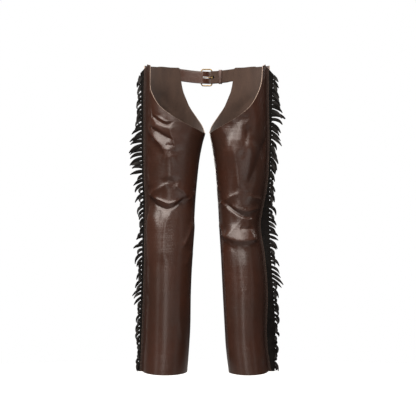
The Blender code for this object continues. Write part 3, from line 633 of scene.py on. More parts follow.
def strand_table(side):
    """Each strand's height, length, angles, root width, sway to the front or back and lean up or down, uneven
    from one to the next."""
    count = int((TOP_STRAND - LOW_STRAND) / STRAND_PITCH) + 1
    rng = np.random.default_rng(STRAND_SEED + (0 if side == "left" else 1))
    table = {"height": TOP_STRAND - STRAND_PITCH * np.arange(count)}
    at = column(FRINGE[side], FRINGE_COLUMNS, "height")
    for name in FRINGE_COLUMNS[1:]:
        table[name] = np.interp(table["height"], at, column(FRINGE[side], FRINGE_COLUMNS, name))
    table["length"] *= 1 + LENGTH_JITTER * rng.uniform(-1, 1, count)
    table["start"] += START_JITTER * rng.uniform(-1, 1, count)
    table["end"] += END_JITTER * rng.uniform(-1, 1, count)
    curled = (rng.integers(0, CURLED, count) == 0) & (table["height"] < CURLS_BELOW)
    table["length"] = table["length"] * np.where(curled, CURLED_LENGTH, 1.0)
    table["end"] = table["end"] + np.where(curled, CURLED_END, 0.0)
    table["sway"] = SWAY * (-1.0) ** np.arange(count) * rng.uniform(0.6, 1, count)
    lean = []
    for k in range(count):
        size = CLUMPS[k % len(CLUMPS)]
        lean += list(LEAN * (np.arange(size) - (size - 1) / 2))
    table["lean"] = np.array(lean[:count])
    return {name: number[:, None] for name, number in table.items()}, rng


def fringe(side, finish):
    """The black strip in the side seam and its strands. A strand bends over and down like a claw; it is a flat
    thong that keeps its width for half its length, then tapers and twists."""
    hand = 1.0 if side == "left" else -1.0
    table, rng = strand_table(side)
    count = len(table["height"])
    t = np.linspace(0, 1, 17)[None, :]
    angle = np.radians(table["start"] + (table["end"] - table["start"]) * t**1.3)
    step = table["length"] / (t.shape[1] - 1)
    out = np.cumsum(np.cos(angle) * step, axis=1) - np.cos(angle[:, :1]) * step
    down = -np.cumsum(np.sin(angle) * step, axis=1) + np.sin(angle[:, :1]) * step
    wave = rng.uniform(-1.2, 1.2, (count, 1)) * np.sin(np.pi * t)
    path = np.stack([out + wave, table["sway"] * t**1.5, down + wave + table["lean"] * t], axis=-1)
    way = np.gradient(path, axis=1)
    way = way / np.linalg.norm(way, axis=-1, keepdims=True)
    flat = np.cross(way, np.array([0.0, 1.0, 0.0]))
    flat = flat / np.linalg.norm(flat, axis=-1, keepdims=True)
    deep = np.cross(flat, way)
    twist = rng.uniform(-0.8, 0.8, (count, 1)) * t**1.4
    wide_way = flat * np.cos(twist)[..., None] + deep * np.sin(twist)[..., None]
    thin_way = deep * np.cos(twist)[..., None] - flat * np.sin(twist)[..., None]
    root = table["width"] / 2 * rng.uniform(0.86, 1.0, (count, 1))
    sharp = rng.uniform(0.55, 0.8, (count, 1))
    taper = root * (1 - sharp * ramp(t, 0.42, 1.02)) * (1 - 0.45 * ramp(t, 0.9, 1.0))
    thick = LEATHER / 2 * (0.94 - 0.4 * t) * np.ones((count, 1))
    turns = 2 * np.pi * (np.arange(8) + 0.5) / 8
    wide_by = np.sign(np.cos(turns)) * np.abs(np.cos(turns)) ** 0.5
    thin_by = np.sign(np.sin(turns)) * np.abs(np.sin(turns)) ** 0.8
    rings = (
        path[:, :, None]
        + (taper[..., None] * wide_by)[..., None] * wide_way[:, :, None]
        + (thick[..., None] * thin_by)[..., None] * thin_way[:, :, None]
    )
    heights = table["height"][:, 0]
    start = np.stack([leg_value(side, "roots", heights) - 1.5, seam_depth(heights), heights], axis=-1)
    rings = (rings + start[:, None, None]) * (hand, 1, 1)
    points, faces = rods(rings)
    faces = turned_out(points, faces)
    strip_points, strip_faces = fringe_strip(side, hand)
    both = np.concatenate([faces, strip_faces + len(points)])
    length = np.broadcast_to(t[..., None], rings.shape[:3]).reshape(-1)
    values = {"down_strand": np.concatenate([length, np.zeros(len(strip_points))])}
    points = np.concatenate([points, strip_points])
    piece = new_piece(f"{side}_fringe_leather", points, both, [finish], None, values)
    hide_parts(f"{side}_fringe")
    return piece


def fringe_strip(side, hand):
    """The strip between the two fins, from the hem up to the slanted top, with soft outer corners."""
    share = np.linspace(0, 1, 260)[:, None]
    corner = SLANT_CORNER[side]
    seam_top = float(leg_value(side, "seam", SLANT_TOP)) - FIN_WIDTH + 3.5
    root_top = float(leg_value(side, "roots", SLANT_TOP))
    inner_height = HEM_HEIGHT + share * (SLANT_TOP - (seam_top - corner) - HEM_HEIGHT)
    outer_height = HEM_HEIGHT + share * (SLANT_TOP - (root_top - corner) - HEM_HEIGHT)
    across = np.array([0.0, 0.5, 0.94, 1.0, 1.0, 0.94, 0.5, 0.0])
    thick = np.array([-1.0, -1.0, -1.0, -0.6, 0.6, 1.0, 1.0, 1.0]) * LEATHER / 2
    height = inner_height + (outer_height - inner_height) * across
    inner_x = leg_value(side, "seam", height) - FIN_WIDTH + 3.5
    outer_x = leg_value(side, "roots", height)
    x = inner_x + (outer_x - inner_x) * across
    y = seam_depth(height) + thick
    rings = np.stack([hand * x, y, height], axis=-1)[None]
    points, faces = rods(rings)
    return points, turned_out(points, faces)


# The belt, its loops, buckle, keeper and rivets


def hip_angle(across):
    """The angle round the hips' oval for a distance along the front from the midline."""
    turn = np.radians(np.linspace(-100, 100, 801))
    wide = float(outer_edge("left", "front", WAIST_HEIGHT))
    deep = float(-depth_value("hip_front", WAIST_HEIGHT))
    steps = np.hypot(np.diff(wide * np.sin(turn)), np.diff(deep * np.cos(turn)))
    run = np.concatenate([[0], np.cumsum(steps)])
    return np.interp(across, run - run[len(run) // 2], turn)


def belt_line(across, offset, height):
    """A point by its distance along the front of the hips from the midline, to the left if positive, and
    its distance outside the leather's middle surface at that height."""
    turn = hip_angle(across)
    wide = np.where(turn > 0, outer_edge("left", "front", height), outer_edge("right", "front", height))
    deep = -depth_value("hip_front", height)
    way_x, way_y = np.sin(turn) / wide, -np.cos(turn) / deep
    size = np.hypot(way_x, way_y)
    x = wide * np.sin(turn) + way_x / size * offset
    y = -deep * np.cos(turn) + way_y / size * offset
    return np.stack([x, y, height + 0 * x], axis=-1)


def belt_height(across):
    """The belt's middle height: lowest at the front midline."""
    return WAIST_HEIGHT - BELT_DIP * (1 - ramp(np.abs(across), 0, 150))


def closer(along, out, times):
    """The same line with points in between, on a smooth curve through the given ones."""
    line = np.stack([along, out], axis=-1)
    steps = np.linalg.norm(np.diff(line, axis=0), axis=1)
    run = np.concatenate([[0], np.cumsum(steps)])
    at = np.concatenate([np.linspace(run[k], run[k + 1], times, endpoint=False) for k in range(len(steps))])
    at = np.append(at, run[-1])
    return smooth(run, line[:, 0], at), smooth(run, line[:, 1], at)


def strap(name, node, along, out, finishes, hole=None, round_end=False):
    """A belt strap as a wall with softened edges: a line seen from above, given by places along the hips and
    offsets from them. A hole is a place along it, a width and a height."""
    along, out = closer(np.asarray(along, float), np.asarray(out, float), 3)
    half = np.full(len(along), BELT_WIDTH / 2)
    if round_end:
        from_end = np.abs(along - along[-1])
        half = half * np.sqrt(1 - 0.72 * np.clip(1 - from_end / 14, 0, 1) ** 2.2)
    levels = np.concatenate([[-1, -0.985, -0.94, -0.86], np.linspace(-0.72, 0.72, 9), [0.86, 0.94, 0.985, 1]])
    soft = np.concatenate([[0.45, 0.75, 0.95, 1], np.ones(9), [1, 0.95, 0.75, 0.45]])
    if hole is not None:
        near = np.array([-1, 1]) * hole[2] / BELT_WIDTH
        levels = np.sort(np.concatenate([levels, near]))
        soft = np.interp(levels, [-1, -0.985, -0.94, -0.86, 0.86, 0.94, 0.985, 1],
                         [0.45, 0.75, 0.95, 1, 1, 0.95, 0.75, 0.45])
    rows = [belt_line(along, out, belt_height(along) + share * half) for share in levels]
    grid = np.stack(rows)
    step = np.gradient(grid[len(levels) // 2], axis=0)
    way = np.cross(step, (0, 0, 1))
    way = way / np.linalg.norm(way, axis=1, keepdims=True)
    lift = way[None] * (soft[:, None, None] * BELT_THICK / 2)
    keep = None
    if hole is not None:
        middle = (along[1:] + along[:-1]) / 2
        level = (levels[1:] + levels[:-1]) / 2 * BELT_WIDTH / 2
        inside = np.abs(middle - hole[0]) < hole[1] / 2
        keep = ~(inside[None, :] & (np.abs(level) < hole[2] / 2)[:, None])
    points, faces, kinds = shell(grid + lift, grid - lift, keep)
    edge = np.broadcast_to((1 - np.abs(levels))[:, None] * BELT_WIDTH / 2, grid.shape[:2]).reshape(-1)
    piece = new_piece(name, points, faces, finishes, kinds, {"strap_edge": np.concatenate([edge, edge])})
    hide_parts(node)
    return piece


def hip_loop(hand):
    """The hip end of a belt half, as places along the hips and offsets: from its riveted end it runs to
    the hip, turns round and comes back against the leather."""
    inward = np.array([LOOP_LENGTH, LOOP_OPEN, 25, 18, 10])
    out = LAP_OFFSET + (PANEL_OFFSET + 2 * LOOP_RADIUS - LAP_OFFSET) * (1 - ramp(inward, 5, LOOP_OPEN))
    turns = np.radians(np.linspace(90, -90, 9))
    along = np.concatenate([BELT_END - inward, BELT_END + LOOP_RADIUS * np.cos(turns)])
    out = np.concatenate([out, PANEL_OFFSET + LOOP_RADIUS + LOOP_RADIUS * np.sin(turns)])
    return hand * along, out


def buckle_belt_half(finishes):
    """The right half: looped at the hip, wrapped round the buckle's heel bar and folded back."""
    loop_along, loop_out = hip_loop(-1)
    straight = np.linspace(-BELT_END, HEEL_BAR, 12)[1:-1]
    turns = np.radians(np.linspace(-90, 90, 13))
    folded = np.linspace(HEEL_BAR, HEEL_BAR - FOLD_LENGTH, 6)[1:]
    along = np.concatenate([loop_along, straight, HEEL_BAR + WRAP_RADIUS * np.cos(turns), folded])
    out = np.concatenate([
        loop_out,
        np.full(len(straight), PANEL_OFFSET),
        BAR_OFFSET + WRAP_RADIUS * np.sin(turns),
        np.full(len(folded), FOLD_OFFSET),
    ])
    hole = (HEEL_BAR, WRAP_SLOT[0], WRAP_SLOT[1])
    return strap("right_belt_leather", "right_belt", along, out, finishes, hole)


def tongue_belt_half(finishes):
    """The left half: looped at the hip, it goes behind the free bar, over the heel bar and the keeper."""
    loop_along, loop_out = hip_loop(1)
    straight = np.linspace(BELT_END, FREE_BAR + 6, 10)[1:]
    climb = np.linspace(CLIMB_START, CLIMB_END, 10)
    lift = PANEL_OFFSET + (TONGUE_OFFSET - PANEL_OFFSET) * ramp(-climb, -CLIMB_START, -CLIMB_END)
    tongue = np.linspace(CLIMB_END - 4, TONGUE_END, 14)
    along = np.concatenate([loop_along, straight, climb, tongue])
    out = np.concatenate([
        loop_out,
        np.full(len(straight), PANEL_OFFSET),
        lift,
        np.full(len(tongue), TONGUE_OFFSET),
    ])
    hole = (SLOT_AT, PRONG_SLOT[0], PRONG_SLOT[1])
    return strap("left_belt_leather", "left_belt", along, out, finishes, hole, round_end=True)


def bar(name, node, path, radius, sides, finish, closed=False):
    """A round bar along a path; its radius may change along it."""
    path = np.asarray(path, float)
    if closed:
        way = np.roll(path, -1, axis=0) - np.roll(path, 1, axis=0)
    else:
        way = np.gradient(path, axis=0)
    way = way / np.linalg.norm(way, axis=1, keepdims=True)
    flat = np.linalg.svd(path - path.mean(axis=0))[2][2]
    aside = np.cross(way, flat)
    aside = aside / np.linalg.norm(aside, axis=1, keepdims=True)
    turns = 2 * np.pi * np.arange(sides) / sides
    round_way = np.cos(turns)[:, None] * aside[:, None] + np.sin(turns)[:, None] * flat
    rings = path[:, None] + np.broadcast_to(radius, len(path))[:, None, None] * round_way
    if closed:
        number = np.arange(len(path) * sides).reshape(len(path), sides)
        ahead, beyond = np.roll(number, -1, axis=1), np.roll(number, -1, axis=0)
        faces = np.stack([number, ahead, np.roll(ahead, -1, axis=0), beyond], axis=-1).reshape(-1, 4)
        points = rings.reshape(-1, 3)
    else:
        points, faces = rods(rings[None])
    piece = new_piece(name, points, turned_out(points, faces), [finish])
    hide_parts(node)
    return piece


def buckle_point(across, out, up):
    """A point at the buckle: place along the belt, offset, and height above the belt's middle."""
    across, out, up = np.broadcast_arrays(np.asarray(across, float), np.asarray(out, float), up)
    spot = belt_line(across, out, np.full(across.shape, WAIST_HEIGHT - BELT_DIP))
    spot[..., 2] = WAIST_HEIGHT - BELT_DIP + up
    return spot


def buckle(finish):
    """A plain heel-bar buckle: a frame bent from round bar, and a prong that wraps the heel bar."""
    middle = (HEEL_BAR + FREE_BAR) / 2
    half_wide = (FREE_BAR - HEEL_BAR) / 2
    round_x, round_z = half_wide - BUCKLE_CORNER, BUCKLE_HALF_HEIGHT - BUCKLE_CORNER
    across, up = [], []
    for quarter, (sx, sz) in enumerate(((1, 1), (-1, 1), (-1, -1), (1, -1))):
        turns = np.radians(np.linspace(0, 90, 13) + 90 * quarter)
        across += list(middle + sx * round_x + BUCKLE_CORNER * np.cos(turns))
        up += list(sz * round_z + BUCKLE_CORNER * np.sin(turns))
    path = buckle_point(across, BAR_OFFSET, np.array(up))
    bar("buckle_frame_brass", "buckle_frame", path, BAR_RADIUS, 20, finish, closed=True)
    grip = BAR_RADIUS + GAP + PRONG_RADIUS
    turns = np.radians(np.linspace(330, 90, 22))
    tip_out = BAR_OFFSET + BAR_RADIUS + GAP + PRONG_RADIUS
    reach = np.linspace(HEEL_BAR + 3, FREE_BAR + 4, 16)
    across = np.concatenate([HEEL_BAR - grip * np.cos(turns + np.pi), reach])
    out = np.concatenate([BAR_OFFSET + grip * np.sin(turns), np.full(len(reach), tip_out)])
    radius = np.full(len(across), PRONG_RADIUS)
    radius[-4:] = PRONG_RADIUS * np.array([0.95, 0.85, 0.68, 0.4])
    bar("buckle_prong_brass", "buckle_prong", buckle_point(across, out, 0.0), radius, 14, finish)


def keeper(finishes):
    """A narrow leather ring with rounded corners that holds the tongue down over the fold."""
    half = BELT_WIDTH / 2 + KEEPER_EASE + KEEPER_THICK / 2
    low = PANEL_OFFSET - BELT_THICK / 2 - KEEPER_EASE - KEEPER_THICK / 2
    high = TONGUE_OFFSET + BELT_THICK / 2 + KEEPER_EASE + KEEPER_THICK / 2
    corner = 2.2
    outs, ups = [], []
    corners = ((high, half, 0), (low, half, 90), (low, -half, 180), (high, -half, 270))
    for out, up, first in corners:
        turns = np.radians(np.linspace(first, first + 90, 7))
        outs += list(out - math.copysign(corner, out - (low + high) / 2) + corner * np.cos(turns))
        ups += list(up - math.copysign(corner, up) + corner * np.sin(turns))
    outs, ups = np.array(outs), np.array(ups)
    wide_by = np.array([-1, -0.9, 0.9, 1, 1, 0.9, -0.9, -1]) * KEEPER_WIDTH / 2
    thick_by = np.array([0.6, 1, 1, 0.6, -0.6, -1, -1, -0.6]) * KEEPER_THICK / 2
    step_out, step_up = np.gradient(outs), np.gradient(ups)
    size = np.hypot(step_out, step_up)
    way_out, way_up = step_up / size, -step_out / size
    level = belt_height(KEEPER_AT)
    out = outs[:, None] + way_out[:, None] * thick_by
    up = level + ups[:, None] + way_up[:, None] * thick_by
    points = belt_line(KEEPER_AT + np.broadcast_to(wide_by, out.shape), out, up)
    number = np.arange(points.shape[0] * 8).reshape(-1, 8)
    ahead = np.roll(number, -1, axis=1)
    faces = np.stack([number, ahead, np.roll(ahead, -1, axis=0), np.roll(number, -1, axis=0)], axis=-1)
    points = points.reshape(-1, 3)
    faces = turned_out(points, faces.reshape(-1, 4))
    edge = {"strap_edge": np.full(len(points), 9.0)}
    piece = new_piece("keeper_leather", points, faces, finishes, None, edge)
    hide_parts("belt_keeper")


def rivet(name, node, across, offset, drop, finish):
    """A low domed rivet cap on the belt, turned from a profile with a small flat rim."""
    spot = belt_line(np.array(across), np.array(offset), np.array(belt_height(across)))
    further = belt_line(np.array(across), np.array(offset + 1), np.array(belt_height(across)))
    way = (further - spot) / np.linalg.norm(further - spot)
    aside = np.cross(way, (0, 0, 1))
    spot[2] = belt_height(across) + drop
    wide = np.array([1.0, 1.02, 1.0, 0.94, 0.88, 0.78, 0.62, 0.42, 0.2])
    rise = np.array([0.0, 0.14, 0.28, 0.36, 0.5, 0.72, 0.88, 0.97, 1.0])
    turns = 2 * np.pi * np.arange(28) / 28
    flat = aside * np.cos(turns)[:, None] + np.array((0, 0, 1)) * np.sin(turns)[:, None]
    rings = spot + RIVET_RADIUS * wide[:, None, None] * flat + RIVET_RISE * rise[:, None, None] * way
    points, faces = rods(rings[None])
    piece = new_piece(name, points, turned_out(points, faces), [finish])
    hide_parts(node)


def rivets(finish):
    """One cap holds each hip loop down and one holds each front panel's corner to the belt."""
    for side, hand in (("left", 1), ("right", -1)):
        top = LAP_OFFSET + BELT_THICK / 2 + GAP
        rivet(f"{side}_loop_rivet_cap", f"{side}_loop_rivet", hand * LOOP_RIVET, top, 0.0, finish)
        top = PANEL_OFFSET + BELT_THICK / 2 + GAP
        name = f"{side}_corner_rivet"
        rivet(name + "_cap", name, hand * CORNER_RIVET, top, CORNER_RIVET_DROP, finish)


# Sewing


def stitches(name, lines, pitch, length, thick, finish):
    """Rows of stitches as small threads that dip into the leather at both ends. Each line is its points and
    its outward directions."""
    rings = []
    for points, outward in lines:
        steps = np.linalg.norm(np.diff(points, axis=0), axis=1)
        run = np.concatenate([[0], np.cumsum(steps)])
        starts = np.arange(pitch / 2, run[-1] - length, pitch)
        at = starts[:, None] + length * np.linspace(0, 1, 6)
        spot = np.stack([np.interp(at, run, points[:, k]) for k in range(3)], axis=-1)
        out = np.stack([np.interp(at, run, outward[:, k]) for k in range(3)], axis=-1)
        out = out / np.linalg.norm(out, axis=-1, keepdims=True)
        arch = np.array([-0.7, 0.15, 0.5, 0.5, 0.15, -0.7]) * thick
        slim = np.array([0.5, 0.9, 1, 1, 0.9, 0.5]) * thick / 2
        way = np.gradient(spot, axis=1)
        way = way / np.linalg.norm(way, axis=-1, keepdims=True)
        aside = np.cross(way, out)
        turns = 2 * np.pi * np.arange(6) / 6
        ring = np.cos(turns)[:, None] * aside[:, :, None] + np.sin(turns)[:, None] * out[:, :, None]
        middle = spot + out * arch[:, None]
        rings.append(middle[:, :, None] + ring * slim[:, None, None])
    points, faces = rods(np.concatenate(rings))
    piece = new_piece(name, points, turned_out(points, faces), [finish])
    return piece


def fin_sewing(side, finish):
    """Sewing through the fins and the strip between them, seen on both sides."""
    lines = []
    for face in ("back", "front"):
        heights = np.linspace(HEM_HEIGHT + 3, SLANT_TOP - 22, 400)
        spots, ways, _ = panel_point(side, face, np.full(len(heights), -1.55), heights)
        lines.append((spots + ways * LEATHER / 2, ways))
    return stitches(f"{side}_seam_sewing", lines, 4.4, 3.4, 0.9, finish)


def strap_sewing(name, start, end, offset, finish):
    """Two rows of sewing along a straight stretch of the belt's outside."""
    lines = []
    along = np.linspace(start, end, 80)
    for up in (-1, 1):
        level = belt_height(along) + up * (BELT_WIDTH / 2 - 4.2)
        spot = belt_line(along, np.full(80, offset), level)
        ahead = belt_line(along, np.full(80, offset + 1.0), level)
        lines.append((spot, ahead - spot))
    return stitches(name, lines, 4.0, 3.0, 0.8, finish)


# Finishes


class Finish:
    """A Principled material and short names for the nodes that feed it."""

    def __init__(self, name, colour, roughness, metallic=0.0):
        self.material = bpy.data.materials.new(name)
        self.material.use_nodes = True
        self.tree = self.material.node_tree
        self.shader = self.tree.nodes["Principled BSDF"]
        self.shader.inputs["Base Color"].default_value = (*colour, 1)
        self.shader.inputs["Roughness"].default_value = roughness
        self.shader.inputs["Metallic"].default_value = metallic
        self.place = self.tree.nodes.new("ShaderNodeTexCoord").outputs["Object"]

    def node(self, kind, **settings):
        made = self.tree.nodes.new(kind)
        for key, value in settings.items():
            setattr(made, key, value)
        return made

    def link(self, source, target):
        self.tree.links.new(source, target)

    def stretched(self, sizes):
        """Object coordinates scaled unevenly."""
        mapping = self.node("ShaderNodeMapping")
        mapping.inputs["Scale"].default_value = sizes
        self.link(self.place, mapping.inputs["Vector"])
        return mapping.outputs["Vector"]

    def noise(self, scale, detail=3.0, rough=0.55, where=None, low=0.0, high=1.0):
        """Noise as a number from low to high."""
        made = self.node("ShaderNodeTexNoise")
        made.inputs["Scale"].default_value = scale
        made.inputs["Detail"].default_value = detail
        made.inputs["Roughness"].default_value = rough
        self.link(where or self.place, made.inputs["Vector"])
        return self.between(made.outputs["Fac"], 0.3, 0.7, low, high)

    def between(self, source, from_low, from_high, low, high):
        """A number moved from one range to another and held inside it."""
        made = self.node("ShaderNodeMapRange")
        made.inputs["From Min"].default_value = from_low
        made.inputs["From Max"].default_value = from_high
        made.inputs["To Min"].default_value = low
        made.inputs["To Max"].default_value = high
        self.link(source, made.inputs["Value"])
        return made.outputs["Result"]

    def value(self, name):
        """A number stored at the piece's points."""
        return self.node("ShaderNodeAttribute", attribute_name=name).outputs["Fac"]

    def math(self, operation, a, b):
        made = self.node("ShaderNodeMath", operation=operation)
        for socket, source in zip(made.inputs, (a, b)):
            if isinstance(source, (int, float)):
                socket.default_value = source
            else:
                self.link(source, socket)
        return made.outputs[0]

    def mix(self, share, first, second):
        """Two colours mixed by a number."""
        made = self.node("ShaderNodeMix", data_type="RGBA")
        self.link(share, made.inputs[0])
        for socket, colour in ((made.inputs[6], first), (made.inputs[7], second)):
            if isinstance(colour, tuple):
                socket.default_value = (*colour, 1)
            else:
                self.link(colour, socket)
        return made.outputs[2]

    def colour(self, source):
        self.link(source, self.shader.inputs["Base Color"])

    def roughness(self, source):
        self.link(source, self.shader.inputs["Roughness"])

    def bumps(self, *layers):
        """Bump layers, each a height from 0 to 1, a strength and a depth in millimetres."""
        normal = None
        for height, strength, depth in layers:
            made = self.node("ShaderNodeBump")
            made.inputs["Strength"].default_value = strength
            made.inputs["Distance"].default_value = depth * MM
            self.link(height, made.inputs["Height"])
            if normal is not None:
                self.link(normal, made.inputs["Normal"])
            normal = made.outputs["Normal"]
        self.link(normal, self.shader.inputs["Normal"])
        return normal


def grain(finish, scale, where=None):
    """Leather grain: small rounded cells with fine valleys between them."""
    cells = finish.node("ShaderNodeTexVoronoi", feature="DISTANCE_TO_EDGE")
    cells.inputs["Scale"].default_value = scale
    finish.link(where or finish.place, cells.inputs["Vector"])
    return finish.between(cells.outputs["Distance"], 0.0, 0.25, 0.0, 1.0)


RED_BROWN = (0.031, 0.0105, 0.0058)
GREY_BROWN = (0.024, 0.0108, 0.0070)
DARK_BROWN = (0.012, 0.0056, 0.0040)
# Painted shade for the fins along the seam.
FIN_SHADE_BROWN = (0.020, 0.0105, 0.0078)
RAW_EDGE = (0.19, 0.138, 0.108)


def brown_finish():
    """The grain side of the panels: glossy dark brown that varies between red and grey, worn a little on the
    ridges, with painted shade that darkens the troughs and the fins, and a pale raw line along the cut edges."""
    made = Finish("brown_leather", RED_BROWN, 0.3)
    cloudy = made.noise(9.0, 3.0)
    mottled = made.noise(60.0, 3.0)
    colour = made.mix(cloudy, RED_BROWN, GREY_BROWN)
    colour = made.mix(made.math("MULTIPLY", mottled, 0.2), colour, DARK_BROWN)
    push = made.value("crease")
    # Painted shade: the leather darkens in the troughs of the creases.
    colour = made.mix(made.between(push, -2.0, -7.0, 0.0, 0.5), colour, DARK_BROWN)
    colour = made.mix(made.between(push, 3.0, 8.0, 0.0, 0.2), colour, (0.050, 0.023, 0.016))
    seam = made.value("seam_edge")
    # Painted shade: the fin along the seam is darkened.
    colour = made.mix(made.between(seam, 13.0, 8.0, 0.0, 0.9), colour, FIN_SHADE_BROWN)
    ragged = made.noise(260.0, 2.0, low=-0.25, high=0.25)
    for name, width, share in (("cut_edge", 0.6, 0.8), ("hem_edge", 0.7, 0.6), ("seam_edge", 0.7, 0.35)):
        distance = made.math("ADD", made.value(name), ragged)
        colour = made.mix(made.between(distance, width + 4, width, 0.0, 0.3), colour, DARK_BROWN)
        colour = made.mix(made.between(distance, width, width - 0.5, 0.0, share), colour, RAW_EDGE)
    made.colour(colour)
    rough = made.noise(40.0, 3.0, low=0.28, high=0.34)
    made.roughness(made.math("ADD", rough, made.between(seam, 36.0, 10.0, 0.0, 0.3)))
    made.link(made.between(seam, 34.0, 12.0, 0.5, 0.12), made.shader.inputs["Specular IOR Level"])
    wrinkled = made.noise(70.0, 4.0, 0.6, made.stretched((1.0, 1.0, 2.6)))
    level_lines = made.noise(70.0, 3.0, 0.6, made.stretched((0.35, 0.35, 4.4)))
    made.bumps(
        (made.noise(26.0, 2.0), 0.2, 1.6),
        (level_lines, 0.3, 0.5),
        (wrinkled, 0.25, 0.4),
        (grain(made, 950.0), 0.14, 0.1),
    )
    return made.material


def suede_finish():
    """The flesh side: a dull brown nap with brushed marks, darkened with painted shade."""
    made = Finish("brown_suede", (0.10, 0.055, 0.035), 0.92)
    made.shader.inputs["Sheen Weight"].default_value = 0.2
    made.shader.inputs["Sheen Roughness"].default_value = 0.5
    made.shader.inputs["Specular IOR Level"].default_value = 0.2
    brushed = made.noise(34.0, 3.0, 0.6, made.stretched((1.0, 1.0, 0.35)))
    # Painted shade: both browns of the nap are darkened well below the suede's own colour, for the shaded
    # insides.
    colour = made.mix(brushed, (0.018, 0.0095, 0.0065), (0.034, 0.019, 0.013))
    colour = made.mix(made.noise(900.0, 2.0, high=0.3), colour, (0.08, 0.048, 0.034))
    made.colour(colour)
    made.bumps((made.noise(900.0, 3.0, 0.7), 0.35, 0.25), (brushed, 0.2, 0.6))
    return made.material


def raw_edge_finish():
    """The cut through the leather: pale fibres, darkened with painted shade where it runs along the fins at
    the seam.
    """
    made = Finish("raw_edge", RAW_EDGE, 0.85)
    fibres = made.noise(700.0, 3.0, 0.7)
    pale = made.mix(fibres, (0.13, 0.092, 0.072), (0.24, 0.18, 0.145))
    # Painted shade: the raw edge darkens where it runs along the fin at the seam.
    made.colour(made.mix(made.between(made.value("seam_edge"), 16.0, 10.0, 0.0, 0.9), pale, FIN_SHADE_BROWN))
    made.bumps((fibres, 0.4, 0.2))
    return made.material


def black_finish():
    """The fringe: soft black leather, dull near the roots and with a faint shine towards the tips: more
    specular there, and a painted highlight that lightens the colour.
    """
    made = Finish("black_leather", (0.006, 0.005, 0.0045), 0.42)
    down = made.value("down_strand")
    made.link(made.between(down, 0.0, 0.3, 0.04, 0.10), made.shader.inputs["Specular IOR Level"])
    patchy = made.noise(60.0, 3.0)
    colour = made.mix(patchy, (0.0025, 0.0021, 0.0019), (0.006, 0.0051, 0.0046))
    # Painted highlight: the colour lightens towards the strand tips.
    tip = made.between(down, 0.3, 1.0, 0.0, 0.5)
    made.colour(made.mix(tip, colour, (0.0105, 0.009, 0.0082)))
    made.roughness(made.noise(45.0, 3.0, low=0.36, high=0.55))
    fine = made.noise(500.0, 3.0, 0.6)
    made.bumps((made.noise(90.0, 3.0), 0.4, 0.6), (fine, 0.25, 0.12), (grain(made, 1100.0), 0.25, 0.1))
    return made.material


def belt_finish():
    """The belt: firm dark brown leather, burnished almost black along its edges."""
    made = Finish("belt_leather", (0.045, 0.018, 0.011), 0.34)
    made.shader.inputs["Coat Weight"].default_value = 0.2
    made.shader.inputs["Coat Roughness"].default_value = 0.25
    cloudy = made.noise(22.0, 3.0)
    colour = made.mix(cloudy, (0.048, 0.018, 0.011), (0.032, 0.0145, 0.0095))
    edge = made.value("strap_edge")
    colour = made.mix(made.between(edge, 2.6, 0.4, 0.0, 0.85), colour, (0.010, 0.006, 0.0045))
    made.colour(colour)
    made.roughness(made.noise(60.0, 3.0, low=0.28, high=0.42))
    groove = made.between(made.math("ABSOLUTE", made.math("SUBTRACT", edge, 4.2), 0.0), 0.0, 0.9, 0.0, 1.0)
    made.bumps((made.noise(120.0, 4.0), 0.25, 0.4), (grain(made, 800.0), 0.25, 0.12), (groove, 0.6, 0.35))
    return made.material


def thread_finish(name, colour):
    """Waxed thread with a fine twist, its grooves darkened with painted shade."""
    made = Finish(name, colour, 0.6)
    twisted = made.node("ShaderNodeTexWave", bands_direction="DIAGONAL")
    twisted.inputs["Scale"].default_value = 620.0
    made.link(made.place, twisted.inputs["Vector"])
    darker = tuple(c * 0.55 for c in colour)
    # Painted shade: where the twist's bump sinks, the colour darkens.
    made.colour(made.mix(twisted.outputs["Fac"], darker, colour))
    made.bumps((twisted.outputs["Fac"], 0.5, 0.15))
    return made.material


def brass_finish():
    """Antique brass: patchy dark tarnish, with fine scratches."""
    made = Finish("antique_brass", (0.42, 0.29, 0.13), 0.32, 1.0)
    tarnish = made.noise(170.0, 4.0, 0.6)
    made.colour(made.mix(tarnish, (0.30, 0.21, 0.095), (0.09, 0.06, 0.03)))
    made.roughness(made.noise(300.0, 3.0, low=0.32, high=0.52))
    scratched = made.noise(600.0, 2.0, 0.5, made.stretched((1.0, 1.0, 6.0)))
    made.bumps((scratched, 0.2, 0.08))
    return made.material


# Stage, light and camera


def stage():
    """A floor under the chaps that is white as it is seen, but throws little light up at the leather, and
    fades into the wall behind it."""
    made = Finish("pale_floor", (0.14, 0.14, 0.14), 0.8)
    made.colour(made.mix(made.noise(2.0, 2.0), (0.13, 0.13, 0.13), (0.15, 0.15, 0.15)))
    made.shader.inputs["Emission Color"].default_value = (1, 1, 1, 1)
    seen = made.node("ShaderNodeLightPath").outputs["Is Camera Ray"]
    made.link(made.math("MULTIPLY", seen, 0.86), made.shader.inputs["Emission Strength"])
    away = made.node("ShaderNodeVectorMath", operation="LENGTH")
    made.link(made.place, away.inputs[0])
    made.link(made.between(away.outputs["Value"], 1.1, 1.6, 1.0, 0.0), made.shader.inputs["Alpha"])
    across = np.linspace(-1, 1, 3) * 3000.0
    x, y = np.meshgrid(across, across)
    points = np.stack([x, y, 0 * x], axis=-1).reshape(-1, 3)
    number = np.arange(9).reshape(3, 3)
    faces = np.stack([number[:-1, :-1], number[:-1, 1:], number[1:, 1:], number[1:, :-1]], axis=-1)
    mesh = bpy.data.meshes.new("floor")
    mesh.from_pydata(placed(points).tolist(), [], faces.reshape(-1, 4).tolist())
    mesh.materials.append(made.material)
    floor = bpy.data.objects.new("floor", mesh)
    bpy.context.scene.collection.objects.link(floor)


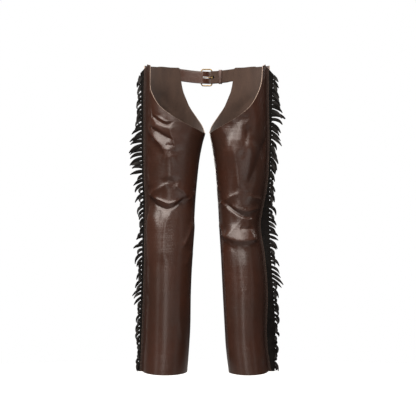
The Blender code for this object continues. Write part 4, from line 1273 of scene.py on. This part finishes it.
def world_light():
    """A white wall all round as it is seen, in a studio whose own light is dim, so that the leather mirrors
    the softboxes and little else."""
    world = bpy.data.worlds.new("studio")
    bpy.context.scene.world = world
    world.use_nodes = True
    tree = world.node_tree
    background = tree.nodes["Background"]
    ways = tree.nodes.new("ShaderNodeLightPath").outputs
    mirrored = tree.nodes.new("ShaderNodeMapRange")
    mirrored.inputs["To Min"].default_value = 0.14
    mirrored.inputs["To Max"].default_value = 0.03
    tree.links.new(ways["Is Glossy Ray"], mirrored.inputs["Value"])
    strength = tree.nodes.new("ShaderNodeMapRange")
    strength.inputs["To Max"].default_value = 1.0
    tree.links.new(mirrored.outputs["Result"], strength.inputs["To Min"])
    tree.links.new(ways["Is Camera Ray"], strength.inputs["Value"])
    tree.links.new(strength.outputs["Result"], background.inputs["Strength"])
    background.inputs["Color"].default_value = (1, 1, 1, 1)


def softbox(name, azimuth, elevation, distance, size, watts, tint=(1.0, 0.93, 0.87)):
    """A rectangular light that looks at the middle of the chaps. Azimuth is from straight behind them,
    positive towards the left leg."""
    light = bpy.data.lights.new(name, "AREA")
    light.shape = "RECTANGLE"
    light.size, light.size_y = size
    light.energy = watts
    light.color = tint
    item = bpy.data.objects.new(name, light)
    turn, lift = math.radians(azimuth), math.radians(elevation)
    target = np.array([0.0, 0.0, -0.42])
    way = np.array([math.sin(turn) * math.cos(lift), math.cos(turn) * math.cos(lift), math.sin(lift)])
    item.location = target + way * distance
    item.rotation_mode = "QUATERNION"
    item.rotation_quaternion = Vector(way).to_track_quat("Z", "Y")
    bpy.context.scene.collection.objects.link(item)


def camera():
    """Behind the chaps and level with the knees, far enough off that both legs are seen square on."""
    lens = bpy.data.cameras.new("camera")
    item = bpy.data.objects.new("camera", lens)
    distance, picture_width, eye_height = 6.0, 1.248, 0.552
    lens.sensor_width = 36.0
    lens.lens = lens.sensor_width * distance / picture_width
    item.location = (-0.003, distance, eye_height - WAIST_HEIGHT * MM)
    item.rotation_euler = (math.radians(90), 0, math.radians(180))
    bpy.context.scene.collection.objects.link(item)
    bpy.context.scene.camera = item


def dress():
    """Make every piece."""
    leather = [brown_finish(), suede_finish(), raw_edge_finish()]
    belt = belt_finish()
    belt_sides = [belt, suede_finish(), belt]
    black = black_finish()
    brass = brass_finish()
    dark_thread = thread_finish("dark_thread", (0.012, 0.009, 0.008))
    brown_thread = thread_finish("brown_thread", (0.10, 0.055, 0.03))
    panels, trims = {}, {}
    for side in ("left", "right"):
        for face in ("back", "front"):
            panels[side, face] = leather_panel(side, face, leather)
        trims[side] = [fringe(side, black), fin_sewing(side, dark_thread)]
    belts = {"left": tongue_belt_half(belt_sides), "right": buckle_belt_half(belt_sides)}
    keeper([belt])
    buckle(brass)
    rivets(brass)
    outside = PANEL_OFFSET + BELT_THICK / 2
    strap_sewing("left_belt_sewing", 96.0, 26.0, outside, brown_thread)
    strap_sewing("right_belt_sewing", -96.0, -54.0, outside, brown_thread)


bpy.context.scene.view_settings.view_transform = "Standard"
stage()
world_light()
softbox("ceiling", 14, 68, 3.2, (6.6, 2.4), 310)
softbox("key", 28, 34, 4.0, (8.4, 1.7), 370)
softbox("low_fill", 18, 10, 4.2, (1.0, 1.1), 15)
softbox("low_card", 9, -12, 4.2, (1.1, 0.9), 13)
softbox("cool_fill", -38, -22, 4.5, (3.4, 1.3), 26, (1.0, 0.94, 0.90))
softbox("side", 62, 6, 4.2, (0.7, 2.4), 8)
softbox("other_side", -64, 6, 4.2, (0.7, 2.4), 4)
softbox("rim", 138, 4, 4.0, (0.4, 2.0), 2)
softbox("front_key", 196, 34, 4.0, (6.0, 1.7), 230)
softbox("front_fill", 172, 8, 4.2, (1.4, 1.1), 22)
camera()
dress()
